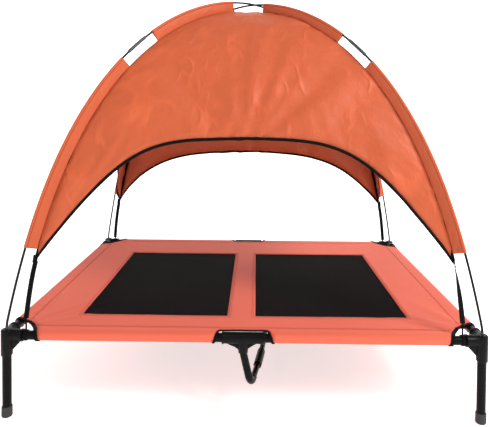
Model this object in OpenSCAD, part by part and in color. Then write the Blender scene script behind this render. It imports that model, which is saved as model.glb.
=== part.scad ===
// Raised pet bed with a lift-off sun canopy.
// Origin on the floor under the middle of the bed, X along the long side, front towards -Y.

/* [Bed] */
// Distance between the leg centres along the long side
leg_span_x = 1190; // [900:10:1250]
// Distance between the leg centres along the short side
leg_span_y = 884; // [700:2:940]
// Height of the corner fittings' tops above the floor
fitting_top = 222; // [190:1:260]
// Where the cut in the cloth at each corner crosses the rails, from the leg's centre
corner_cut = 71.5; // [70:0.5:85]
// Radius of that cut
corner_cut_r = 134; // [100:1:200]
// Width of the cut in the cloth at the middle of the front and the rear
centre_cut_w = 140; // [136:2:200]
// Depth of that cut behind the rail's centre
centre_cut_d = 17; // [17:1:24]
// Thickness of the deck cloth
cloth_t = 1.2; // [0.8:0.1:1.6]

/* [Mesh windows] */
// Width of the cloth strip between the two windows
window_strip = 76; // [40:1:120]
// How far that strip is sewn off the middle
strip_shift = -8; // [-20:1:20]
// Distance of a window's outer edge from the bed's middle
window_outer = 440; // [300:5:460]
// Front edge of the windows
window_front = -335; // [-360:5:-250]
// Rear edge of the windows
window_rear = 250; // [150:5:340]

/* [Frame] */
// Outside diameter of the legs and rails
tube_d = 22; // [20:0.5:23]
// Wall of the steel tubes
tube_wall = 1.2; // [1:0.1:2]
// Outside diameter of the fittings' sockets
socket_d = 28; // [27:0.5:30]
// Height of a corner fitting
fitting_h = 66; // [60:1:75]
// Length of a rail socket, from the leg's centre
socket_len = 42; // [38:1:42]
// Length of a centre tee
tee_len = 107; // [90:1:120]
// Length of the tee's stem below the rail's centre
stem_len = 36; // [34:1:60]
// Diameter of the brace's arms
arm_d = 19; // [16:0.5:19]
// Diameter of the centre brace
brace_d = 15; // [13:0.5:16]
// Height of the centre brace's run above the floor
brace_z = 90; // [70:1:130]
// How far the brace bows to one side
brace_bow = 46; // [0:2:80]

/* [Canopy] */
// Rise of the poles above the corner fittings
pole_rise = 902; // [700:1:1000]
// Diameter of a pole rod
rod_d = 6; // [5:0.5:6]
// Depth of the pole sockets
pole_socket = 30; // [20:1:30]
// Distance from a pole to the panels' seam
sleeve_w = 28; // [20:1:35]
// Arc length from a pole's foot to the start of its lower sleeve
sleeve_start = 192; // [160:1:240]
// Arc length to the side gap's near end
gap_start = 738; // [650:2:780]
// Arc length to the side gap's far end
gap_end = 862; // [820:2:950]
// Half of the gap at the crossing
crown_gap = 68; // [40:2:100]
// Height of the front arch above the corner fittings
front_arch = 478; // [400:1:560]
// Height of the rear arch above the corner fittings
rear_arch = 384; // [300:1:480]
// Height of the side arches above the corner fittings
side_arch = 389; // [300:1:480]
// Width of the black edge binding
binding_w = 8; // [5:0.5:12]
// Width of the webbing straps
strap_w = 13; // [8:1:16]

/* [Hidden] */
$fn = 48;
half_x = leg_span_x / 2;
half_y = leg_span_y / 2;
half_reach = norm([half_x, half_y]);
rail_z = fitting_top - 15;
tube_r = tube_d / 2;
socket_r = socket_d / 2;
slip = 0.15;
bore_r = tube_r + slip;
// Rails start this far from the leg's centre and legs end this far below the fitting's top
rail_stop = 16;
leg_stop = 33;
sleeve_gap = 0.3;
sleeve_in = tube_r + sleeve_gap;
sleeve_out = sleeve_in + cloth_t;
band_r = sleeve_out + 0.9;
band_w = 9;
centre_band_w = 6.6;
foot_r = 13;
foot_h = 27;
foot_floor = 5;
loop_w = 9;
front_loop_x = half_x - 49;
rear_loop_x = half_x - 28;
rod_r = rod_d / 2;
// Poles cross one over the other, so one rises a little more
pole_lift = rod_r + 0.2;
rise_a = pole_rise + pole_lift;
rise_b = pole_rise - pole_lift;

// ---- bent poles ----
arc_step = 5;
// The rod stands upright in its socket, then leans in over this length
upright = 18;
base_lean = 13;
// Bending in degrees per millimetre of arc, at the foot and for each millimetre of height
base_bend = 0.0176;
bend_rate = 8.3e-5;
function ease(t) = let(u = min(1, max(0, t))) u * u * (3 - 2 * u);
function lean(s, turn) = base_lean * ease(s / upright) + turn;
bend = [for (s = 0, x = 0, z = 0, turn = 0; lean(s, turn) < 90;
    x = x + arc_step * sin(lean(s, turn)), z = z + arc_step * cos(lean(s, turn)),
    turn = turn + (base_bend + bend_rate * z) * arc_step, s = s + arc_step) [x, z]];
bend_end = bend[len(bend) - 1];
arc_half = (len(bend) - 1) * arc_step;
joint_arc = (gap_start + gap_end) / 2;
ferrule_len = 72;

// Point of a half pole at arc s: [distance in from the corner, height above the fitting]
function pole_at(rise, s) =
    let(i = min(len(bend) - 2, max(0, floor(s / arc_step))), f = s / arc_step - i,
        p = bend[i] * (1 - f) + bend[i + 1] * f)
    [p.x * half_reach / bend_end.x, p.y * rise / bend_end.y];
function unit(v) = v / norm(v);
function along(rise, s) = unit(pole_at(rise, min(arc_half, s + 5)) - pole_at(rise, max(0, s - 5)));
// The same point moved in towards the canopy's inside by u
function inside(rise, s, u) = let(t = along(rise, s)) pole_at(rise, s) + u * [t.y, -t.x];
// A point of the half pole's plane, at the front left corner
function spot(p) = [-half_x * (1 - p.x / half_reach), -half_y * (1 - p.x / half_reach), fitting_top + p.y];
diagonal_side = [half_y, -half_x, 0] / half_reach;
station = 50;
function stations(a, b) = concat([a], [for (s = [ceil((a + 6) / station) : floor((b - 6) / station)])
    s * station], [b]);
// Rings of a section swept along a half pole. Section points are [inwards, sideways].
function pole_rings(rise, a, b, section) = [for (s = stations(a, b))
    [for (q = section) spot(inside(rise, s, q.x)) + q.y * diagonal_side]];
function circle_points(r, n) = [for (i = [0 : n - 1]) r * [cos(i * 360 / n), sin(i * 360 / n)]];

// Closed solid through a list of rings
module loft(rings) {
    n = len(rings[0]);
    m = len(rings);
    polyhedron(
        points = [for (ring = rings) each ring],
        faces = concat(
            [[for (i = [0 : n - 1]) n - 1 - i]],
            [[for (i = [0 : n - 1]) (m - 1) * n + i]],
            [for (j = [0 : m - 2]) for (i = [0 : n - 1]) let(k = (i + 1) % n)
                each [[j * n + i, j * n + k, (j + 1) * n + k], [j * n + i, (j + 1) * n + k, (j + 1) * n + i]]]));
}

// Closed pipe between a list of outer rings and a list of inner rings of as many points
module loft_pipe(outer, inner) {
    n = len(outer[0]);
    m = len(outer);
    o = n * m;
    last = (m - 1) * n;
    polyhedron(
        points = concat([for (ring = outer) each ring], [for (ring = inner) each ring]),
        faces = concat(
            [for (i = [0 : n - 1]) let(k = (i + 1) % n)
                each [[i, o + i, o + k], [i, o + k, k]]],
            [for (i = [0 : n - 1]) let(k = (i + 1) % n)
                each [[last + i, last + k, o + last + k], [last + i, o + last + k, o + last + i]]],
            [for (j = [0 : m - 2]) for (i = [0 : n - 1]) let(k = (i + 1) % n, a = j * n, b = a + n)
                each [[a + i, a + k, b + k], [a + i, b + k, b + i],
                    [o + a + i, o + b + k, o + a + k], [o + a + i, o + b + i, o + b + k]]]));
}

// Everything at a corner is drawn at the front left one and mirrored
module at_corner(sx, sy) {
    mirror([sx > 0 ? 1 : 0, 0, 0]) mirror([0, sy > 0 ? 1 : 0, 0]) children();
}
module from_leg() {
    translate([-half_x, -half_y, 0]) children();
}
module along_x() {
    rotate([0, 90, 0]) children();
}
module along_y() {
    rotate([-90, 0, 0]) children();
}
module tube(len, r, wall) {
    difference() {
        cylinder(h = len, r = r);
        translate([0, 0, -1]) cylinder(h = len + 2, r = r - wall);
    }
}

// ---- frame ----
module corner_fitting() color("#1c1c1e") from_leg() difference() {
    gusset_t = 5;
    union() {
        translate([0, 0, fitting_top - fitting_h]) rotate_extrude() polygon(concat(
            [[0, 0], [socket_r - 1.2, 0], [socket_r, 2]],
            [for (a = [0 : 15 : 90]) [socket_r - 4 + 4 * cos(a), fitting_h - 4 + 4 * sin(a)]],
            [[0, fitting_h]]));
        translate([0, 0, rail_z]) {
            along_x() cylinder(h = socket_len, r = socket_r);
            along_y() cylinder(h = socket_len, r = socket_r);
            translate([socket_len - 5, 0, 0]) along_x() cylinder(h = 5, r = socket_r + 1.2);
            translate([0, socket_len - 5, 0]) along_y() cylinder(h = 5, r = socket_r + 1.2);
            translate([0, 0, -gusset_t / 2]) linear_extrude(gusset_t)
                polygon([[0, 0], [socket_len - 5, 0], [0, socket_len - 5]]);
        }
        for (turn = [0, 90]) rotate([0, 0, turn])
            translate([0, gusset_t / 2, fitting_top]) rotate([90, 0, 0]) linear_extrude(gusset_t)
                polygon([[0, -15], [socket_len - 5, -20], [socket_len - 5, -29], [socket_r - 2, -56], [0, -56]]);
    }
    translate([0, 0, fitting_top - fitting_h - 1]) cylinder(h = fitting_h - leg_stop + 1, r = bore_r);
    translate([rail_stop, 0, rail_z]) along_x() cylinder(h = socket_len, r = bore_r);
    translate([0, rail_stop, rail_z]) along_y() cylinder(h = socket_len, r = bore_r);
    translate([0, 0, fitting_top - pole_socket]) cylinder(h = pole_socket + 1, r = rod_r + 0.5);
}
module leg() color("#242426") from_leg()
    translate([0, 0, foot_floor]) tube(fitting_top - leg_stop - foot_floor - 0.5, tube_r, tube_wall);
module foot_cap() color("#151515") from_leg() difference() {
    rotate_extrude() polygon(concat(
        [[0, 0], [foot_r - 4, 0]],
        [for (a = [-75 : 15 : 0]) [foot_r - 4 + 4 * cos(a), 4 + 4 * sin(a)]],
        [[foot_r, foot_h - 1.5], [foot_r - 0.8, foot_h], [0, foot_h]]));
    translate([0, 0, foot_floor - 0.1]) cylinder(h = foot_h, r = tube_r + 0.1);
}
module rail_half() color("#242426") from_leg()
    translate([rail_stop + 0.5, 0, rail_z]) along_x() tube(half_x - rail_stop - 2.5, tube_r, tube_wall);
module side_rail() color("#242426") from_leg()
    translate([0, rail_stop + 0.5, rail_z]) along_y() tube(leg_span_y - 2 * rail_stop - 1, tube_r, tube_wall);

module centre_tee() color("#1c1c1e") translate([0, -half_y, rail_z]) difference() {
    gusset_t = 6;
    union() {
        translate([-tee_len / 2, 0, 0]) along_x() cylinder(h = tee_len, r = socket_r);
        for (x = [-tee_len / 2, tee_len / 2 - 5]) translate([x, 0, 0]) along_x() cylinder(h = 5, r = socket_r + 1.2);
        translate([0, 0, -stem_len]) cylinder(h = stem_len, r = arm_d / 2 + 2.5);
        translate([0, gusset_t / 2, 0]) rotate([90, 0, 0]) linear_extrude(gusset_t)
            polygon([[-46, -10], [-36, -16.5], [-22, -22], [-13, -28], [-11, -33], [11, -33], [13, -26], [27, -17],
                [38, -11]]);
    }
    translate([1.5, 0, 0]) along_x() cylinder(h = tee_len, r = bore_r);
    translate([-1.5 - tee_len, 0, 0]) along_x() cylinder(h = tee_len, r = bore_r);
    translate([0, 0, -stem_len - 1]) cylinder(h = stem_len - 16, r = arm_d / 2 + 0.3);
}

// Centre line of the brace: down out of the tee's stem, round a bend and back under the deck
brace_bend = 24;
stem_end = rail_z - stem_len;
brace_lean = 19;
function brace_x(y, z) = brace_lean * min(1, max(0, (stem_end - z) / (stem_end - brace_z)))
    + brace_bow * (1 - pow(y / half_y, 2));
function brace_point(y, z) = [brace_x(y, z), y, z];
brace_arm = [for (z = [rail_z - 19 : -8 : brace_z + brace_bend + 4]) brace_point(-half_y, z)];
brace_turn = [for (a = [0 : 15 : 90]) brace_point(-half_y + brace_bend * (1 - cos(a)),
    brace_z + brace_bend * (1 - sin(a)))];
function brace_run(y0, y1) = [for (i = [0 : 12]) brace_point(y0 + (y1 - y0) * i / 12, brace_z)];
function path_rings(path, section) = [for (i = [0 : len(path) - 1])
    let(t = unit(path[min(i + 1, len(path) - 1)] - path[max(i - 1, 0)]), side = unit(cross([1, 0, 0], t)),
        up = cross(t, side))
    [for (q = section) path[i] + q.x * side + q.y * up]];
brace_joint = -half_y + 134;
brace_round = circle_points(brace_d / 2, 12);
elbow_end = -half_y + brace_bend + 10;
// The arm is one size down to just past the bend, where it steps in to the tube's size
module brace_elbow() color("#1a1a1c") loft(concat(
    path_rings(concat(brace_arm, brace_turn, [brace_point(elbow_end, brace_z)]), circle_points(arm_d / 2, 12)),
    path_rings([for (i = [0 : 3]) brace_point(elbow_end + 2 + (brace_joint - 3 - elbow_end) * i / 3, brace_z)],
        brace_round)));
module brace_tube() color("#1a1a1c") loft(path_rings(brace_run(brace_joint + 1, -brace_joint - 1), brace_round));
module brace_sleeve() {
    path = [for (i = [0 : 4]) brace_point(brace_joint - 42 + 21 * i, brace_z)];
    loft_pipe(path_rings(path, circle_points(brace_d / 2 + 3.5, 12)),
        path_rings(path, circle_points(brace_d / 2 + 0.8, 12)));
}
module brace_sleeves() color("#1a1a1c") {
    brace_sleeve();
    mirror([0, 1, 0]) brace_sleeve();
}

// ---- deck ----
deck_low = rail_z + sleeve_in;
// The corner cut is an arc whose centre lies this far beyond the leg's, along both rails
cut_centre = (sqrt(2 * pow(corner_cut_r, 2) - pow(corner_cut, 2)) - corner_cut) / 2;
module corner_disc(r) {
    translate([-cut_centre, -cut_centre, 0]) cylinder(h = fitting_top + 20, r = r, $fn = 144);
}
// Rings round the rails are made this much longer at a corner, for the disc to cut them to shape
ring_over = 9;
window_left = [-window_outer, strip_shift - window_strip / 2];
window_right = [strip_shift + window_strip / 2, window_outer];
cut_round = 15;
module rounded_cut(half_w, depth, r) {
    translate([-half_w, -40]) square([2 * half_w, 40 + depth - r]);
    translate([r - half_w, -40]) square([2 * (half_w - r), 40 + depth]);
    for (side = [-1, 1]) translate([side * (half_w - r), depth - r]) circle(r = r);
}
module sleeve_ring(len, r) {
    difference() {
        cylinder(h = len, r = r);
        translate([0, 0, -1]) cylinder(h = len + 2, r = sleeve_in);
    }
}
// The flat cloth starts this far in from the rails' centres, inside the sleeves' wall
flat_in = 1;
module bed_sheet() color("#f0705a") difference() {
    union() {
        translate([flat_in - half_x, flat_in - half_y, deck_low])
            cube([leg_span_x - 2 * flat_in, leg_span_y - 2 * flat_in, cloth_t]);
        for (sx = [0, 1]) for (sy = [0, 1]) mirror([sx, 0, 0]) mirror([0, sy, 0])
            translate([corner_cut - ring_over - half_x, -half_y, rail_z]) along_x()
                sleeve_ring(half_x - corner_cut + ring_over - centre_cut_w / 2, sleeve_out);
        for (sx = [0, 1]) mirror([sx, 0, 0]) translate([-half_x, corner_cut - ring_over - half_y, rail_z]) along_y()
            sleeve_ring(leg_span_y - 2 * corner_cut + 2 * ring_over, sleeve_out);
    }
    for (sx = [-1, 1]) for (sy = [-1, 1]) at_corner(sx, sy) from_leg() corner_disc(corner_cut_r);
    for (turn = [0, 180]) rotate([0, 0, turn]) translate([0, -half_y, deck_low - 1])
        linear_extrude(cloth_t + 2) rounded_cut(centre_cut_w / 2, centre_cut_d, cut_round);
    for (span = [window_left, window_right]) translate([span[0], window_front, deck_low - 1])
        cube([span[1] - span[0], window_rear - window_front, cloth_t + 2]);
}
module mesh_window(span) color("#2a1c1f")
    translate([span[0] + 0.2, window_front + 0.2, deck_low + 0.2])
        cube([span[1] - span[0] - 0.4, window_rear - window_front - 0.4, cloth_t - 0.4]);
module corner_binding() color("#111113") from_leg() difference() {
    reach = corner_cut + ring_over;
    from = reach - 3 * ring_over;
    intersection() {
        union() {
            translate([flat_in, flat_in, deck_low]) cube([reach, reach, cloth_t + 0.9]);
            translate([from, 0, rail_z]) along_x() sleeve_ring(reach - from, band_r);
            translate([0, from, rail_z]) along_y() sleeve_ring(reach - from, band_r);
        }
        corner_disc(corner_cut_r - 0.1);
    }
    corner_disc(corner_cut_r - band_w);
}
module centre_binding() color("#111113") translate([0, -half_y, 0]) {
    outer = centre_cut_w / 2 - 0.1;
    inner = outer - centre_band_w;
    translate([0, 0, deck_low]) linear_extrude(cloth_t + 0.9) difference() {
        intersection() {
            rounded_cut(outer, centre_cut_d - 0.1, cut_round);
            translate([-outer - 1, 0]) square([2 * outer + 2, 40]);
        }
        rounded_cut(inner, centre_cut_d - centre_band_w, 10);
    }
    for (x = [-outer, inner]) translate([x, 0, rail_z]) along_x() sleeve_ring(centre_band_w, band_r);
}
// Hook-and-loop loops that the canopy straps close on: round the front rail, and round the rear fittings' arms.
// A narrow neck stands up from each.
neck_w = 4;
front_neck = 31;
rear_neck = 19;
module neck(from, to) {
    translate([(loop_w - neck_w) / 2, -0.9, from]) cube([neck_w, 1.8, to - from]);
}
module front_loop() translate([-front_loop_x - loop_w / 2, -half_y, rail_z]) {
    along_x() sleeve_ring(loop_w, sleeve_in + 1.6);
    neck(sleeve_in + 0.5, sleeve_in + front_neck);
}
rear_loop_t = 1;
module loop_outline(grow) {
    hull() {
        circle(r = socket_r + 0.2 + grow);
        translate([-3 - grow, -29.6 - grow]) square([6 + 2 * grow, 1]);
    }
}
module rear_loop() translate([-rear_loop_x - loop_w / 2, -half_y, rail_z]) {
    rotate([90, 0, 90]) linear_extrude(loop_w) difference() {
        loop_outline(rear_loop_t);
        loop_outline(0);
    }
    neck(socket_r + 0.7, rear_neck);
}
module rail_loops() color("#161618") for (sx = [-1, 1]) {
    at_corner(sx, -1) front_loop();
    at_corner(sx, 1) rear_loop();
}

// ---- canopy panels ----
panel_t = 1.2;
seam_gap = 1.2;
crown_half = 8;
// Lower edge of a panel: nearly flat in the middle, with straight legs and a soft shoulder between them
function softened(x, shoulder, soft) = soft * ln(1 + exp((abs(x) - shoulder) / soft));
function arch_z(x, a) = a[0] - a[1] * softened(x, a[2], a[3]);
function arch_slope(x, a) = a[1] / (1 + exp(-(abs(x) - a[2]) / a[3]));
function edge_z(x, a, off) = arch_z(x, a) + off * norm([1, arch_slope(x, a)]);
// An arch is [height, slope of its legs, half width at the shoulder, softness of the shoulder]
front_edge = [front_arch, 1.45, 0.53 * half_x, 66];
rear_edge = [rear_arch, 1.94, 0.778 * half_x, 102];
side_edge = [side_arch, 1.30, 0.49 * half_y, 45];

// The seam's arc where a column at share c of the half width w meets the lower edge
function foot_arc(c, w, a, off, low = 60, high = 900, n = 14) = n == 0 ? (low + high) / 2
    : let(mid = (low + high) / 2, p = inside(pole_rise, mid, sleeve_w), x = c * w * (1 - p.x / half_reach))
        p.y > edge_z(x, a, off) ? foot_arc(c, w, a, off, low, mid, n - 1) : foot_arc(c, w, a, off, mid, high, n - 1);
// Arc where the panel's half width falls to the crown's hole
crown_arc = arc_half - crown_half * 1.6;
// Point of a panel that faces -Y: share c across, arc s up, u in from the surface
function panel_point(c, s, w, d, u) =
    let(p = inside(pole_rise, s, sleeve_w), t = along(pole_rise, s), k = 1 - p.x / half_reach,
        n = unit([t.y * half_reach / d, -t.x]))
    [c * (w * k - seam_gap * half_reach / d), -d * k + u * n.x, fitting_top + p.y + u * n.y];
function column_row(c, w, a, lo, hi, f) = let(from = foot_arc(c, w, a, lo),
    to = hi < 0 ? crown_arc : foot_arc(c, w, a, hi)) from + (to - from) * f;

// A strip or a panel of cloth between edge offsets lo and hi, where hi below 0 means up to the crown
module cloth_panel(w, d, a, lo, hi, rows, u0, u1) {
    cols = 20;
    function row_share(j) = rows == 1 ? j : pow(j / rows, 0.9);
    function layer(u) = [for (j = [0 : rows]) for (i = [0 : cols])
        let(c = sin(90 * (2 * i / cols - 1)))
            panel_point(c, column_row(abs(c), w, a, lo, hi, row_share(j)), w, d, u)];
    m = (cols + 1) * (rows + 1);
    function id(j, i) = j * (cols + 1) + i;
    rim = concat([for (i = [0 : cols]) id(0, i)], [for (j = [1 : rows]) id(j, cols)],
        [for (i = [cols - 1 : -1 : 0]) id(rows, i)], [for (j = [rows - 1 : -1 : 1]) id(j, 0)]);
    polyhedron(
        points = concat(layer(u0), layer(u1)),
        faces = concat(
            [for (j = [0 : rows - 1]) for (i = [0 : cols - 1])
                each [[id(j, i), id(j + 1, i + 1), id(j, i + 1)], [id(j, i), id(j + 1, i), id(j + 1, i + 1)],
                    [m + id(j, i), m + id(j, i + 1), m + id(j + 1, i + 1)],
                    [m + id(j, i), m + id(j + 1, i + 1), m + id(j + 1, i)]]],
            [for (i = [0 : len(rim) - 1]) let(p = rim[i], q = rim[(i + 1) % len(rim)])
                each [[p, q, m + q], [p, m + q, m + p]]]));
}
module canopy_panel(w, d, a) color("#ef6a4a") cloth_panel(w, d, a, binding_w, -1, 14, 0, panel_t);
module edge_binding(w, d, a) color("#111113") cloth_panel(w, d, a, 0, binding_w - 0.4, 1, -0.6, panel_t + 0.6);

// ---- poles, sleeves and what is on them ----
module pole_tips() color("#3a3a3c")
    for (sx = [-1, 1]) for (sy = [-1, 1]) at_corner(sx, sy) from_leg()
        translate([0, 0, fitting_top - pole_socket + 0.3]) cylinder(h = pole_socket + 6.7, r = rod_r + 0.2);
rod_round = circle_points(rod_r, 10);
rod_foot = 8;
module lower_rod(rise) loft(pole_rings(rise, rod_foot, joint_arc - 0.5, rod_round));
module middle_rod(rise) {
    half = pole_rings(rise, joint_arc + 0.5, arc_half, rod_round);
    loft(concat(half, [for (i = [len(half) - 2 : -1 : 0])
        [for (q = half[i]) let(v = [-q.x, -q.y, q.z] - 2 * ((-[q.x, q.y, 0] + [spot([0, 0]).x, spot([0, 0]).y, 0])
            * diagonal_side) * diagonal_side) v]]));
}
module pole_a() color("#161618") {
    lower_rod(rise_a);
    rotate([0, 0, 180]) lower_rod(rise_a);
    middle_rod(rise_a);
}
module pole_b() color("#161618") mirror([1, 0, 0]) {
    lower_rod(rise_b);
    rotate([0, 0, 180]) lower_rod(rise_b);
    middle_rod(rise_b);
}
module ferrule(rise) loft_pipe(
    pole_rings(rise, joint_arc - ferrule_len / 2, joint_arc + ferrule_len / 2, circle_points(4.8, 10)),
    pole_rings(rise, joint_arc - ferrule_len / 2, joint_arc + ferrule_len / 2, circle_points(rod_r + 0.7, 10)));
module ferrules() color("#2c2c2e")
    for (sx = [-1, 1]) for (sy = [-1, 1]) at_corner(sx, sy) ferrule(sx * sy > 0 ? rise_a : rise_b);

// Section of a sleeve: round the rod, with a flat tail to the seam
sleeve_tail = sleeve_w - 3.2;
sleeve_turns = [for (i = [0 : 7]) 38 + i * 284 / 7];
sleeve_outer = concat([for (a = sleeve_turns) (rod_r + 1.9) * [cos(a), sin(a)]],
    [[sleeve_tail, -0.9], [sleeve_tail, 0.9]]);
sleeve_inner = concat([for (a = sleeve_turns) (rod_r + 0.7) * [cos(a), sin(a)]],
    [for (a = [-13, 13]) (rod_r + 0.7) * [cos(a), sin(a)]]);
module sleeve(rise, a, b) color("#e2593c")
    loft_pipe(pole_rings(rise, a, b, sleeve_outer), pole_rings(rise, a, b, sleeve_inner));
module lower_sleeve(sx, sy) at_corner(sx, sy) sleeve(sx * sy > 0 ? rise_a : rise_b, sleeve_start, gap_start);
module upper_sleeve(sx, sy) at_corner(sx, sy)
    sleeve(sx * sy > 0 ? rise_a : rise_b, gap_end, arc_half - crown_gap);

// Tape bound over each seam's edges inside the canopy
tape_top = sleeve_w + 4.6;
tape_foot = sleeve_w + 12.6;
tape_section = [[tape_foot, -0.9], [tape_foot, 0.9], [tape_top, 0.9], [tape_top, -0.9]];
module seam_tapes() color("#111113")
    for (sx = [-1, 1]) for (sy = [-1, 1]) at_corner(sx, sy)
        loft(pole_rings(pole_rise, 168, arc_half - 20, tape_section));

// Strap from the canopy's tip down to the loop on the rail
module strap(edge, loop_x, foot_z) {
    top = spot(inside(pole_rise, foot_arc(1, half_x, edge, 0) - 3, sleeve_w));
    foot = [-loop_x, -half_y, foot_z];
    loft([for (p = [foot, top]) [for (q = [[-1, -1], [1, -1], [1, 1], [-1, 1]])
        p + [q.x * strap_w / 2, q.y * 0.8, 0]]]);
}
module corner_strap(sx, sy) color("#161618") at_corner(sx, sy) {
    if (sy < 0) strap(front_edge, front_loop_x, rail_z + sleeve_in + front_neck + 0.4);
    if (sy > 0) strap(rear_edge, rear_loop_x, rail_z + rear_neck + 0.4);
}

at_corner(-1, -1) corner_fitting();  // corner_fitting_front_left
at_corner(1, -1) corner_fitting();  // corner_fitting_front_right
at_corner(-1, 1) corner_fitting();  // corner_fitting_rear_left
at_corner(1, 1) corner_fitting();  // corner_fitting_rear_right
at_corner(-1, -1) leg();  // leg_front_left
at_corner(1, -1) leg();  // leg_front_right
at_corner(-1, 1) leg();  // leg_rear_left
at_corner(1, 1) leg();  // leg_rear_right
at_corner(-1, -1) foot_cap();  // foot_cap_front_left
at_corner(1, -1) foot_cap();  // foot_cap_front_right
at_corner(-1, 1) foot_cap();  // foot_cap_rear_left
at_corner(1, 1) foot_cap();  // foot_cap_rear_right
at_corner(-1, -1) rail_half();  // rail_front_left
at_corner(1, -1) rail_half();  // rail_front_right
at_corner(-1, 1) rail_half();  // rail_rear_left
at_corner(1, 1) rail_half();  // rail_rear_right
side_rail();  // rail_side_left
mirror([1, 0, 0]) side_rail();  // rail_side_right
centre_tee();  // centre_tee_front
mirror([0, 1, 0]) centre_tee();  // centre_tee_rear
brace_elbow();  // brace_elbow_front
mirror([0, 1, 0]) brace_elbow();  // brace_elbow_rear
brace_tube();
brace_sleeves();
bed_sheet();
mesh_window(window_left);  // mesh_window_left
mesh_window(window_right);  // mesh_window_right
at_corner(-1, -1) corner_binding();  // corner_binding_front_left
at_corner(1, -1) corner_binding();  // corner_binding_front_right
at_corner(-1, 1) corner_binding();  // corner_binding_rear_left
at_corner(1, 1) corner_binding();  // corner_binding_rear_right
centre_binding();  // centre_binding_front
mirror([0, 1, 0]) centre_binding();  // centre_binding_rear
rail_loops();
canopy_panel(half_x, half_y, front_edge);  // canopy_front
mirror([0, 1, 0]) canopy_panel(half_x, half_y, rear_edge);  // canopy_rear
rotate([0, 0, -90]) canopy_panel(half_y, half_x, side_edge);  // canopy_left
rotate([0, 0, 90]) canopy_panel(half_y, half_x, side_edge);  // canopy_right
edge_binding(half_x, half_y, front_edge);  // edge_binding_front
mirror([0, 1, 0]) edge_binding(half_x, half_y, rear_edge);  // edge_binding_rear
rotate([0, 0, -90]) edge_binding(half_y, half_x, side_edge);  // edge_binding_left
rotate([0, 0, 90]) edge_binding(half_y, half_x, side_edge);  // edge_binding_right
seam_tapes();
pole_a();
pole_b();
pole_tips();
ferrules();
lower_sleeve(-1, -1);  // lower_sleeve_front_left
lower_sleeve(1, -1);  // lower_sleeve_front_right
lower_sleeve(-1, 1);  // lower_sleeve_rear_left
lower_sleeve(1, 1);  // lower_sleeve_rear_right
upper_sleeve(-1, -1);  // upper_sleeve_front_left
upper_sleeve(1, -1);  // upper_sleeve_front_right
upper_sleeve(-1, 1);  // upper_sleeve_rear_left
upper_sleeve(1, 1);  // upper_sleeve_rear_right
corner_strap(-1, -1);  // strap_front_left
corner_strap(1, -1);  // strap_front_right
corner_strap(-1, 1);  // strap_rear_left
corner_strap(1, 1);  // strap_rear_right
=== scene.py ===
"""Raised pet bed with a lift-off canopy: cloth, webbing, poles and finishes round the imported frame."""

import functools
import math

import bmesh
import bpy
from bpy.props import FloatProperty, FloatVectorProperty, IntProperty, PointerProperty
from mathutils import Matrix, Vector, noise


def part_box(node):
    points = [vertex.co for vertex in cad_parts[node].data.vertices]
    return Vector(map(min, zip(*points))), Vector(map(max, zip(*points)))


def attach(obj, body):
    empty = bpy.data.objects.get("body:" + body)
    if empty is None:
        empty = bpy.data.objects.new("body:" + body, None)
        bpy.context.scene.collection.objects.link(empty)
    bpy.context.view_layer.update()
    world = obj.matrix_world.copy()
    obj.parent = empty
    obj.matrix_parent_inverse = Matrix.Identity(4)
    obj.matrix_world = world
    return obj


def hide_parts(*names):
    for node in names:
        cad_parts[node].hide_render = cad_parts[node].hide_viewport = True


bl_info = {
    "name": "Raised pet bed with canopy",
    "version": (1, 0, 0),
    "blender": (4, 5, 0),
    "location": "View3D > Sidebar > Pet bed",
    "description": "Builds the cloth, straps, poles and finishes of a raised pet bed round its frame",
    "category": "Object",
}

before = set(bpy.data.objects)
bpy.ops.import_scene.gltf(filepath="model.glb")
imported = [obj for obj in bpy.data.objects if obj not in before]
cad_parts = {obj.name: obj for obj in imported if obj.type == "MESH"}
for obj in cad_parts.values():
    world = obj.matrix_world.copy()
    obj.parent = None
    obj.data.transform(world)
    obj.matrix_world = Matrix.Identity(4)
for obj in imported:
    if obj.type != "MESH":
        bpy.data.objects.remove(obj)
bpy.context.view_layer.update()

FRAME, CANOPY = "frame", "canopy"
CORNERS = {"front_left": (-1, -1), "front_right": (1, -1), "rear_left": (-1, 1), "rear_right": (1, 1)}
SIDES = ("front", "rear", "left", "right")


# ---- places read from the frame ----
def middle(node):
    low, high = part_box(node)
    return (low + high) / 2


def height_over(node, base):
    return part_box(node)[1].z - base


LEG = middle("leg_front_left")
HALF_X, HALF_Y = -LEG.x, -LEG.y
REACH = math.hypot(HALF_X, HALF_Y)
RAIL_Z = middle("rail_front_left").z
RAIL_R = height_over("rail_front_left", RAIL_Z)
FITTING_TOP = RAIL_Z + 0.015
ROD_R = 0.003
RISE = {
    1: height_over("pole_a", FITTING_TOP) - ROD_R,
    -1: height_over("pole_b", FITTING_TOP) - ROD_R,
}
MEAN_RISE = (RISE[1] + RISE[-1]) / 2
BINDING_W = 0.008
ARCH_TOP = {s: height_over("edge_binding_" + s, FITTING_TOP) - BINDING_W + 0.0004 for s in SIDES}
WINDOWS = {side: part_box("mesh_window_" + side) for side in ("left", "right")}
CUT_HALF_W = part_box("centre_binding_front")[1].x + 0.0001
CUT_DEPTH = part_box("centre_binding_front")[1].y + HALF_Y + 0.0001
CORNER_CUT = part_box("corner_binding_front_left")[1].x + HALF_X + 0.0001
CORNER_CUT_R = 0.134
# The corner cut's arc is centred this far beyond the leg's axis, along both rails
CUT_CENTRE = (math.sqrt(2 * CORNER_CUT_R ** 2 - CORNER_CUT ** 2) - CORNER_CUT) / 2
# Where the straps' loops are, in from the middle, at the front (-1) and the rear (1)
LOOP_X = {-1: HALF_X - 0.049, 1: HALF_X - 0.028}
# Radius of the fitting's arm that a rear loop goes round
ARM_R = 0.014


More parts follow.
